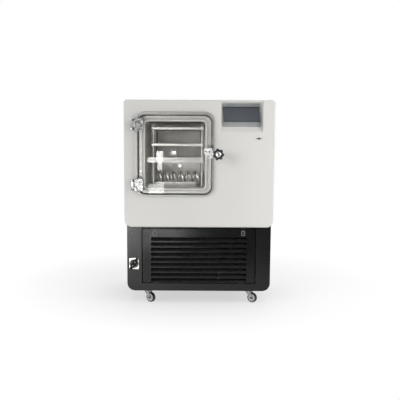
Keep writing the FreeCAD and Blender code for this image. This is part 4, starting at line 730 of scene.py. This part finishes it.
class Workshop:
    """Holds the frame and the finishes, dresses the solids and adds pieces to bodies."""

    def __init__(self, frame: dict) -> None:
        """Builds each finish once."""
        self.frame = frame
        self.materials = {slot.value: finish.material() for slot, finish in FINISHES.items()}
        self.extra = {finish.name: finish.material() for finish in NODE_FINISHES.values()}

    def dress(self) -> None:
        """Gives every solid the finish of its slot, or its own where it has one."""
        for name, node in self.frame["nodes"].items():
            for place in node.material_slots:
                wanted = place.material.name.split(".")[0]
                special = NODE_FINISHES.get(name)
                place.material = self.extra[special.name] if special else self.materials[wanted]
        LOG.info("dressed %d solids", len(self.frame["nodes"]))

    def add(self, name: str, patch: Patch, slot: Slot, body: str = "cabinet") -> bpy.types.Object:
        """Makes a piece of a surface and lets it ride on a body.

        Args:
            name: the piece's name.
            patch: its surface.
            slot: its finish.
            body: the body that it rides on.

        Returns:
            The piece.
        """
        mesh = bpy.data.meshes.new(name)
        mesh.from_pydata(patch.points.tolist(), [], patch.faces.tolist())
        merged = bmesh.new()
        merged.from_mesh(mesh)
        bmesh.ops.remove_doubles(merged, verts=merged.verts, dist=MERGE_DISTANCE)
        bmesh.ops.recalc_face_normals(merged, faces=merged.faces)
        merged.to_mesh(mesh)
        merged.free()
        mesh.shade_smooth()
        mesh.set_sharp_from_angle(angle=SHARP_ANGLE)
        mesh.materials.append(self.materials[slot.value])
        piece = bpy.data.objects.new(name, mesh)
        bpy.context.scene.collection.objects.link(piece)
        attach(piece, body)
        LOG.info("%s: %d faces on %s", name, len(mesh.polygons), body)
        return piece

    def trim(self, name: str, path: Array, section: Array, slot: Slot, body: str = "cabinet") -> None:
        """Adds a section swept round a closed upright path."""
        self.add(name, swept(path, section, REAR, True), slot, body)

    def fasten(self, name: str, fastener: Fastener, frames: Array, slot: Slot, body: str = "cabinet") -> None:
        """Adds copies of a fastener, one in each frame, as one piece."""
        self.add(name, placed(fastener.patch(), frames), slot, body)


# ---- fasteners


class Fastener:
    """Common part of the screws and nuts."""

    def patch(self) -> Patch:
        """The fastener's surface about its own foot, with +Z out of the work."""
        raise NotImplementedError


@dataclass(frozen=True)
class PanScrew(Fastener):
    """Pan-head screw with a cross recess; the head's profile is in shares of its radius and height."""

    radius: float = 0.0042
    height: float = 0.0024
    recess: float = 0.55
    head: tuple[Pair, ...] = ((1.0, 0.0), (1.0, 0.45), (0.9, 0.8), (0.68, 1.0))
    recess_floor: Pair = (0.6, 0.35)
    sides: int = 48

    def patch(self) -> Patch:
        """A domed head whose recess is a cross drawn in towards its floor."""
        deep = self.radius * self.recess
        rings = round_rings([(self.radius * out, self.height * up) for out, up in self.head])
        narrow, low = self.recess_floor
        rings += [(deep, self.height, Outline.CROSS), (deep * narrow, self.height * low, Outline.CROSS)]
        return turned(rings, self.sides)


@dataclass(frozen=True)
class HexNut(Fastener):
    """Hexagon nut with chamfered corners, round a stud."""

    flats: float
    height: float
    stud: float
    face_share: float = 0.96
    chamfer_share: float = 0.12
    stud_foot: float = 1.15
    sides: int = 36

    def patch(self) -> Patch:
        """Hexagon rings with chamfered corners, and the stud's rounded end."""
        corner = self.flats / math.cos(math.pi / 6) / 2
        round_edge = self.flats / 2 * self.face_share
        chamfer = self.height * self.chamfer_share
        rings = [(round_edge, 0.0, Outline.ROUND), (corner, chamfer, Outline.HEX)]
        rings += [(corner, self.height - chamfer, Outline.HEX), (round_edge, self.height, Outline.ROUND)]
        rings += round_rings([(self.stud * self.stud_foot, self.height), (self.stud, self.height - chamfer)])
        return turned(rings, self.sides)


# ---- sub-assemblies


@dataclass
class Housing:
    """White housing: the screws of its rear panel."""

    shop: Workshop
    panel: str = "housing_rear_panel"
    piece: str = "housing_rear_screws"
    screw: PanScrew = PanScrew()
    edge_inset: float = 0.014
    columns: int = 4
    rows: int = 4

    def rim_spots(self, node: str) -> list[Point]:
        """Places spread along the rim of a rear panel, one inset in from its edges."""
        low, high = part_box(node)
        inset = self.edge_inset
        across = np.linspace(low.x + inset * 2, high.x - inset * 2, self.columns)
        upward = np.linspace(low.z + inset * 2, high.z - inset * 2, self.rows)
        spots = [(x, high.y, z) for x in across for z in (low.z + inset, high.z - inset)]
        spots += [(x, high.y, z) for z in upward[1:-1] for x in (low.x + inset, high.x - inset)]
        return spots

    def build(self) -> None:
        """Adds the screws."""
        frames = facing(self.rim_spots(self.panel), REAR)
        self.shop.fasten(self.piece, self.screw, frames, Slot.ZINC_PLATE)


@dataclass
class Console:
    """Sunk console: the rail over it, the display's dark seal that also paints the shade along the display's
    edge, the bezel's bead and the socket's screws.
    """

    shop: Workshop
    screw: PanScrew = PanScrew(0.0026, 0.0014)
    reach: float = 0.0145
    lean: float = math.atan2(0.134, 0.171)
    seal: Pair = (0.0036, 0.001)
    bead: Pair = (0.0022, 0.0012)
    bead_gap: float = 0.0095
    lift: float = 0.0009
    corner: float = 0.003
    rail_height: float = 0.0095
    rail_wall: float = 0.0025

    def frame_of(self, node: str) -> tuple[Array, float, float]:
        """Frame, width and slope length of the tilted face of a node.

        The box of a tilted slab is its length times the sine of the tilt plus its thickness times the
        cosine in depth, and the other way round in height, which gives its length back.

        Args:
            node: the tilted slab.

        Returns:
            A frame on the face's middle with +Z out of it, its width, and its length up the slope.
        """
        low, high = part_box(node)
        sine, cosine = math.sin(self.lean), math.cos(self.lean)
        deep, tall = high.y - low.y, high.z - low.z
        length = (tall * cosine - deep * sine) / (cosine**2 - sine**2)
        middle = ((low.x + high.x) / 2, low.y + length * sine / 2, high.z - length * cosine / 2)
        return facing([middle], (0.0, -cosine, sine)), high.x - low.x, length

    def border(self, gap: float, strip: Pair) -> Patch:
        """A flat strip carried round the display, a gap outside its edge and lifted off its face."""
        frame, width, length = self.frame_of("screen_display")
        draw = 2 * gap + strip[0]
        plan = loop_of(width + draw, length + draw, self.corner + gap)
        path = np.column_stack([plan, np.full(len(plan), self.lift)])
        return placed(swept(path, loop_of(strip[0], strip[1], strip[1] * STRIP_EDGE, 3), UP, True), frame)

    def rail(self) -> None:
        """Adds the thin hemmed rail that carries the fascia's top edge across the console."""
        low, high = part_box("console_tray")
        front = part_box("front_fascia")[0].y
        middle = (front + self.rail_wall / 2, high.z - self.rail_height / 2)
        section = loop_of(self.rail_wall, self.rail_height, self.rail_wall * 0.45, 4)
        path = np.array([(x, *middle) for x in (low.x, (low.x + high.x) / 2, high.x)])
        self.shop.add("console_rail", swept(path, section, UP, False), Slot.WHITE_PAINT)

    def screws(self) -> None:
        """Adds the two small screws level with the socket, on the fascia."""
        low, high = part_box("usb_socket")
        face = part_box("front_fascia")[0].y
        middle = (low + high) / 2
        spots = [(middle.x + side * self.reach, face, middle.z) for side in (-1, 1)]
        self.shop.fasten("socket_screws", self.screw, facing(spots, FRONT), Slot.BLACK_PLASTIC)

    def build(self) -> None:
        """Adds all of the console's pieces."""
        # dark rubber seal round the display, also painting the shade along its edge
        seal = self.border(-self.seal[0] / 2, self.seal)
        self.shop.add("display_seal_and_shade", seal, Slot.TYRE_RUBBER)
        bead = self.border(self.bead_gap, self.bead)
        self.shop.add("bezel_bead", bead, Slot.GREY_PLASTIC)
        self.rail()
        self.screws()


@dataclass
class Sliders:
    """Rims round the slots of the panel's two slide latches."""

    shop: Workshop
    width: float = 0.0175
    height: float = 0.0255
    rim: float = 0.0011
    corner: float = 0.002
    sink: float = 0.0008

    def build(self) -> None:
        """Adds the rims: a round section swept round each slot, on the panel's face."""
        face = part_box("louvre_panel")[0].y
        plan = loop_of(self.width, self.height, self.corner)
        for side in ("left", "right"):
            low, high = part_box("panel_slider_" + side)
            middle = (low + high) / 2
            level = low.z + self.height / 2 - self.sink
            path = np.column_stack([plan[:, 0] + middle.x, np.full(len(plan), face), plan[:, 1] + level])
            self.shop.trim("slider_rim_" + side, path, ring_section(self.rim), Slot.GREY_PLASTIC)


@dataclass
class Chamber:
    """Chamber: its rear weld, the gasket's lip, the nuts of the shelf posts and the lowest shelf's apron."""

    shop: Workshop
    bead: float = 0.0018
    lip: float = 0.0032
    lip_setback: float = 0.0045
    lip_overlap: float = 0.35
    gasket_width: float = 0.012
    gasket_corner: float = 0.004
    wall: float = 0.008
    corner: float = 0.020
    post_inset: float = 0.010
    post_end: float = 0.024
    plate: float = 0.012
    nut: HexNut = HexNut(0.013, 0.005, 0.0049)
    nut_turn: float = 0.7
    apron_rise: float = 0.012
    apron_drop: float = 0.018
    apron_thickness: float = 0.0016
    apron_end: float = 0.006

    def weld(self) -> None:
        """Adds the bead: a round section swept along the inner corner of the rear wall."""
        low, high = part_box("chamber_box")
        half = self.bead / 2
        path = front_loop(low, high, self.wall + half, self.corner - half, high.y - self.wall)
        self.shop.trim("chamber_rear_weld", path, ring_section(self.bead), Slot.STAINLESS)

    def gasket_lip(self) -> None:
        """Adds the rounded lip along the gasket's inner side."""
        low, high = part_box("door_gasket")
        inset = self.gasket_width - self.lip * self.lip_overlap
        path = front_loop(low, high, inset, self.corner + self.gasket_corner, high.y - self.lip_setback)
        self.shop.trim("gasket_lip", path, ring_section(self.lip), Slot.WHITE_SILICONE)

    def post_nuts(self) -> None:
        """Adds a nut above and below each shelf on each post."""
        rack_low, rack_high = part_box("shelf_upper")
        across = (rack_low.x + self.post_inset, rack_high.x - self.post_inset)
        along = (rack_low.y + self.post_end, rack_high.y - self.post_end)
        spots = []
        for shelf in SHELVES:
            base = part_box(shelf)[0].z
            for level in (base - self.nut.height, base + self.plate):
                spots += [(x, y, level) for x in across for y in along]
        turns = np.arange(len(spots)) * self.nut_turn
        self.shop.fasten("shelf_post_nuts", self.nut, facing(spots, UP, turns), Slot.STAINLESS)

    def apron(self) -> None:
        """Adds the folded front edge of the lowest shelf: a rounded strip, with its ends drawn in."""
        low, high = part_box("shelf_lower")
        rise, drop, thick = self.apron_rise, self.apron_drop, self.apron_thickness
        length = high.x - low.x - 2 * self.apron_end
        middle = ((low.x + high.x) / 2, low.y - thick / 2, high.z + (rise - drop) / 2)
        strip = block((rise + drop, thick, length), thick * STRIP_EDGE)
        frame = facing([middle], ACROSS, [math.pi / 2])
        self.shop.add("shelf_lower_apron", placed(strip, frame), Slot.STAINLESS)

    def build(self) -> None:
        """Adds all of the chamber's pieces."""
        self.weld()
        self.gasket_lip()
        self.post_nuts()
        self.apron()


@dataclass
class Door:
    """Clear door: a dark strip round the border of its rear face, painting the shade at the plate's edge."""

    shop: Workshop
    width: float = 0.006
    thick: float = 0.0016
    corner: float = 0.045
    inset: float = 0.0026

    def build(self) -> None:
        """Adds the painted shade: a flat dark section swept round the plate's outline, just behind the plate.
        """
        low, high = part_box("door_panel")
        draw = self.inset + self.width / 2
        path = front_loop(low, high, draw, self.corner - draw, high.y + self.thick / 2)
        section = loop_of(self.width, self.thick, self.thick * STRIP_EDGE, 2)
        # dark rubber strip that paints the shade along the door plate's edge
        self.shop.trim("door_edge_painted_shade", path, section, Slot.TYRE_RUBBER, "door")


@dataclass
class Knob:
    """Chromed cap of the star knob: rim, groove and pressed centre, in shares of its radius and depth."""

    shop: Workshop
    sides: int = 64
    profile: tuple[Pair, ...] = (
        (1.0, 0.0), (1.0, 0.52), (0.97, 0.58), (0.9, 0.6), (0.84, 0.55), (0.78, 0.6),
        (0.7, 0.82), (0.56, 0.95), (0.42, 1.0), (0.38, 0.97), (0.36, 0.86), (0.12, 0.84),
    )

    def build(self) -> None:
        """Replaces the plain insert by one with a stepped face."""
        low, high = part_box("knob_insert")
        middle = (low + high) / 2
        rim = (high.x - low.x) / 2
        depth = high.y - low.y
        cap = turned(round_rings([(rim * out, depth * up) for out, up in self.profile]), self.sides)
        frame = facing([(middle.x, high.y, middle.z)], FRONT)
        piece = self.shop.add("knob_cap", placed(cap, frame), Slot.CHROME, "knob")
        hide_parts("knob_insert")


@dataclass
class MainSwitch:
    """Main switch: inlaid marks on its handle, the dark ring and the screws on its plate."""

    shop: Workshop
    reach: float = 0.012
    spot: float = 0.0022
    sunk: float = 0.0004
    proud: float = 0.0003
    handle_angle: float = 57.0
    plate_thickness: float = 0.004
    ring_inner: float = 0.0174
    ring_outer: float = 0.0252
    ring_height: float = 0.0046
    ring_steps: int = 64
    screw: PanScrew = PanScrew(0.003, 0.0012)
    screw_inset: float = 0.0065

    def marks(self) -> None:
        """Adds the two inlaid dots of the handle, one on each side of its pivot."""
        low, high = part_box("switch_handle")
        middle = (low + high) / 2
        angle = math.radians(self.handle_angle)
        along = (self.reach * math.cos(angle), self.reach * math.sin(angle))
        ends = [(middle.x + side * along[0], low.y, middle.z + side * along[1]) for side in (-1, 1)]
        profile = [(self.spot, -self.sunk), (self.spot, self.proud * 0.6), (self.spot * 0.9, self.proud)]
        dots = placed(turned(round_rings(profile)), facing(ends, FRONT))
        self.shop.add("switch_dots", dots, Slot.WHITE_SILICONE, "main_switch")

    def ring(self, face: float) -> None:
        """Adds the dark ring round the collar: a flat section swept round the pivot."""
        low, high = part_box("switch_plate")
        mean = (self.ring_inner + self.ring_outer) / 2
        angle = np.linspace(0, 2 * math.pi, self.ring_steps, endpoint=False)
        across = (low.x + high.x) / 2 + mean * np.cos(angle)
        upward = (low.z + high.z) / 2 + mean * np.sin(angle)
        depth = np.full(self.ring_steps, face - self.ring_height / 2)
        path = np.column_stack([across, depth, upward])
        width = self.ring_outer - self.ring_inner
        section = loop_of(width, self.ring_height, self.ring_height * 0.2, 3)
        self.shop.trim("switch_ring", path, section, Slot.BLACK_PLASTIC)

    def build(self) -> None:
        """Adds the dots, the ring and the plate's screws."""
        self.marks()
        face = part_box("louvre_panel")[0].y - self.plate_thickness
        self.ring(face)
        low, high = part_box("switch_plate")
        across = (low.x + self.screw_inset, high.x - self.screw_inset)
        upward = (low.z + self.screw_inset, high.z - self.screw_inset)
        spots = [(x, face, z) for x in across for z in upward]
        self.shop.fasten("switch_screws", self.screw, facing(spots, FRONT), Slot.ZINC_PLATE)


@dataclass
class Inlet:
    """Screws of the power inlet."""

    shop: Workshop
    screw: PanScrew = PanScrew(0.003, 0.0016)
    inset: float = 0.0042

    def build(self) -> None:
        """Adds the two screws."""
        low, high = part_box("power_inlet")
        level = (low.z + high.z) / 2
        spots = [(x, high.y, level) for x in (low.x + self.inset, high.x - self.inset)]
        self.shop.fasten("inlet_screws", self.screw, facing(spots, REAR), Slot.ZINC_PLATE)


@dataclass
class BaseRear(Housing):
    """Black base: the screws of its rear panel."""

    panel: str = "base_rear_panel"
    piece: str = "base_rear_screws"
    rows: int = 3


@dataclass
class Caster:
    """One caster: the nuts on its axle's ends."""

    shop: Workshop
    spot: str
    nut: HexNut = HexNut(0.010, 0.0028, 0.003)
    reach: float = 0.0143
    nut_turn: float = 0.35

    def build(self) -> None:
        """Adds the nuts, which turn with the fork."""
        hub_low, hub_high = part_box("caster_hub_" + self.spot)
        middle = (hub_low + hub_high) / 2
        joint = next(j for j in self.shop.frame["joints"] if j["name"] == self.spot + "_roll")
        axle = np.array(joint["axis"], float)
        axle /= np.linalg.norm(axle)
        for side, end in ((-1, "inner"), (1, "outer")):
            at = np.array(middle) + axle * self.reach * side
            frame = facing([tuple(at)], tuple(axle * side), [self.nut_turn])
            name = f"axle_nut_{end}_{self.spot}"
            self.shop.fasten(name, self.nut, frame, Slot.BLACK_PLASTIC, self.spot + "_fork")


# ---- studio


@dataclass
class Studio:
    """Floor, surrounding light and lamps."""

    floor_half: float = 1.7
    floor_centre: Point = (0.0, 0.35, 0.0)
    floor_glow: Pair = (0.6, 1.0)
    floor_fade: Pair = (0.6, 1.2)
    ambient: float = 0.3
    dim: float = 0.17
    bright_left: Pair = (-0.3, -0.85)
    bright_rear: Pair = (0.0, 0.5)
    bright_above: Pair = (0.45, 0.95)
    above: float = 0.5
    target: Point = (0.0, -0.2, 0.6)

    def floor(self) -> None:
        """Lays a pale floor that looks white and still takes the object's shadow."""
        corners = np.array([[[-1, -1, 0], [-1, 1, 0]], [[1, -1, 0], [1, 1, 0]]], float) * self.floor_half
        corners += np.array(self.floor_centre)
        patch = woven(corners)
        mesh = bpy.data.meshes.new("floor")
        mesh.from_pydata(patch.points.tolist(), [], patch.faces.tolist())
        plane = bpy.data.objects.new("floor", mesh)
        bpy.context.scene.collection.objects.link(plane)
        recipe = Recipe("floor_pale")
        recipe.set(Base_Color=(0.88, 0.88, 0.88, 1.0), Roughness=0.9)
        seen = recipe.rays("Camera", "Glossy", "Transmission")
        glow = recipe.node("Emission", {"Color": (1.0, 1.0, 1.0, 1.0), "Strength": 1.0})
        ends = {0: recipe.place, 1: self.floor_centre}
        away = recipe.node("VectorMath", ends, operation="DISTANCE")
        fade = recipe.spread(away.outputs["Value"], *self.floor_glow, *self.floor_fade)
        share = recipe.math("MULTIPLY", seen, fade)
        both = recipe.node("MixShader", {0: share, 1: recipe.shader.outputs[0], 2: glow.outputs[0]})
        recipe.show(both.outputs[0])
        mesh.materials.append(recipe.material)

    def world(self) -> None:
        """Surrounds the object: white to the eye, an even grey to the lamps' side, darker ahead for gloss."""
        world = bpy.data.worlds.new("room")
        bpy.context.scene.world = world
        world.use_nodes = True
        room = Wiring(world.node_tree)
        output = room.node("OutputWorld")
        background = room.node("Background", {"Color": (1.0, 1.0, 1.0, 1.0)})
        coords = room.node("TexCoord").outputs["Generated"]
        parts = room.node("SeparateXYZ", {0: coords}).outputs

        def toward(axis: str, high: float, reach: Pair) -> Socket:
            """Rises smoothly from the dim level to a high one over a reach of directions."""
            return room.spread(parts[axis], self.dim, high, *reach, interpolation_type="SMOOTHSTEP")

        # gloss sees a room that is bright on the left, behind and overhead, and dim ahead
        side = toward("X", 1.0, self.bright_left)
        rear = toward("Y", 1.0, self.bright_rear)
        above = toward("Z", self.above, self.bright_above)
        lit = room.most(side, rear, above)
        mirrored = room.math("MINIMUM", room.node("LightPath").outputs["Glossy Depth"], 1.0)
        through = room.math("SUBTRACT", room.rays("Transmission"), mirrored)
        seen = room.most(room.rays("Camera"), through)
        shown = room.most(seen, room.math("MULTIPLY", room.rays("Glossy", "Transmission"), lit))
        plain = room.math("SUBTRACT", 1.0, room.rays("Camera", "Glossy", "Transmission"))
        strength = room.math("ADD", shown, room.math("MULTIPLY", plain, self.ambient))
        room.feed(background.inputs["Strength"], strength)
        room.feed(output.inputs["Surface"], background.outputs[0])

    def lamp(
        self, name: str, place: Point, power: float, size: float, tall: float = 0.0, gloss_only: bool = False
    ) -> None:
        """Hangs a soft lamp that faces the object and can't itself be seen.

        Args:
            name: the lamp's name.
            place: where it hangs, in metres.
            power: its power, in watts.
            size: its width, in metres.
            tall: its height, in metres, where it isn't square.
            gloss_only: whether it shows only in the surfaces' gloss.
        """
        light = bpy.data.lights.new(name, "AREA")
        light.energy = power
        light.shape = "RECTANGLE"
        light.size = size
        light.size_y = tall or size
        lamp = bpy.data.objects.new(name, light)
        lamp.location = place
        lamp.rotation_euler = (Vector(self.target) - Vector(place)).to_track_quat("-Z", "Y").to_euler()
        lamp.visible_camera = False
        lamp.visible_diffuse = not gloss_only
        bpy.context.scene.collection.objects.link(lamp)

    def build(self) -> None:
        """Adds the floor, the room and the lamps."""
        self.floor()
        self.world()
        self.lamp("key_left", (-2.2, -2.4, 1.4), 31.0, 1.6)
        self.lamp("gloss_left", (-0.95, -2.6, 0.19), 18.0, 0.36, gloss_only=True)
        self.lamp("gloss_panel", (-0.3, -2.6, 0.12), 2.6, 0.2, 0.12, gloss_only=True)
        self.lamp("fill_right", (1.8, -1.2, 1.15), 23.0, 1.2)
        self.lamp("strip_upper", (-0.408, -3.713, 0.78), 0.26, 0.072, 0.086)
        self.lamp("strip_lower", (-0.4055, -3.713, 0.672), 0.17, 0.048, 0.119)
        self.lamp("strip_small", (-0.255, -3.713, 0.804), 0.1, 0.054, 0.038)
        self.lamp("strip_low", (-0.445, -3.713, 0.411), 0.3, 0.17, 0.1)
        self.lamp("board_right", (0.17, -3.713, 0.79), 0.12, 0.26, 0.12)
        self.lamp("overhead", (0.2, 1.9, 3.2), 40.0, 2.2)
        self.lamp("rear_fill", (0.5, 3.6, 2.0), 40.0, 2.4)
        LOG.info("studio is set")


@dataclass
class View:
    """Camera in front of the door, level with the chamber and tipped down a little."""

    place: Point = (-0.025, -3.713, 0.909)
    turn: float = 0.16
    dip: float = 6.90
    roll: float = 0.28
    focal: float = 615.7
    shift: Pair = (-7.2, 17.6)
    frame_width: float = 400.0
    sensor: float = 36.0

    def build(self) -> None:
        """Sets the camera: turned about +Z, dipped below the horizon, then rolled about its own axis."""
        data = bpy.data.cameras.new("front_view")
        camera = bpy.data.objects.new("front_view", data)
        bpy.context.scene.collection.objects.link(camera)
        bpy.context.scene.camera = camera
        data.sensor_width = self.sensor
        data.lens = self.focal / self.frame_width * self.sensor
        data.shift_x = -self.shift[0] / self.frame_width
        data.shift_y = self.shift[1] / self.frame_width
        turn, dip, roll = (math.radians(angle) for angle in (self.turn, self.dip, self.roll))
        right = Vector((math.cos(turn), math.sin(turn), 0.0))
        level = Vector((-math.sin(turn), math.cos(turn), 0.0))
        ahead = level * math.cos(dip) - Vector(UP) * math.sin(dip)
        over = level * math.sin(dip) + Vector(UP) * math.cos(dip)
        side = right * math.cos(roll) + over * math.sin(roll)
        top = over * math.cos(roll) - right * math.sin(roll)
        axes = Matrix((side, top, -ahead)).transposed()
        camera.matrix_world = Matrix.Translation(self.place) @ axes.to_4x4()
        LOG.info("camera is set")


# ---- all


def corners(bounds: tuple[Vector, Vector]) -> list[list[float]]:
    """A box's two corners as plain lists."""
    return [[float(part) for part in corner] for corner in bounds]


def main() -> None:
    """Loads the frame, dresses it and adds every piece, the studio and the camera."""
    logging.basicConfig(level=logging.INFO, format="%(message)s")
    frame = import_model()
    bpy.context.scene.view_settings.view_transform = "Standard"
    shop = Workshop(frame)
    shop.dress()
    spots = [joint["name"][: -len("_roll")] for joint in frame["joints"] if joint["name"].endswith("_roll")]
    kinds = (Housing, Console, Sliders, Chamber, Door, Knob, MainSwitch, Inlet, BaseRear)
    assemblies = [kind(shop) for kind in kinds] + [Caster(shop, spot) for spot in spots]
    for assembly in assemblies:
        assembly.build()
    Studio().build()
    View().build()


if __name__ == "__main__":
    main()
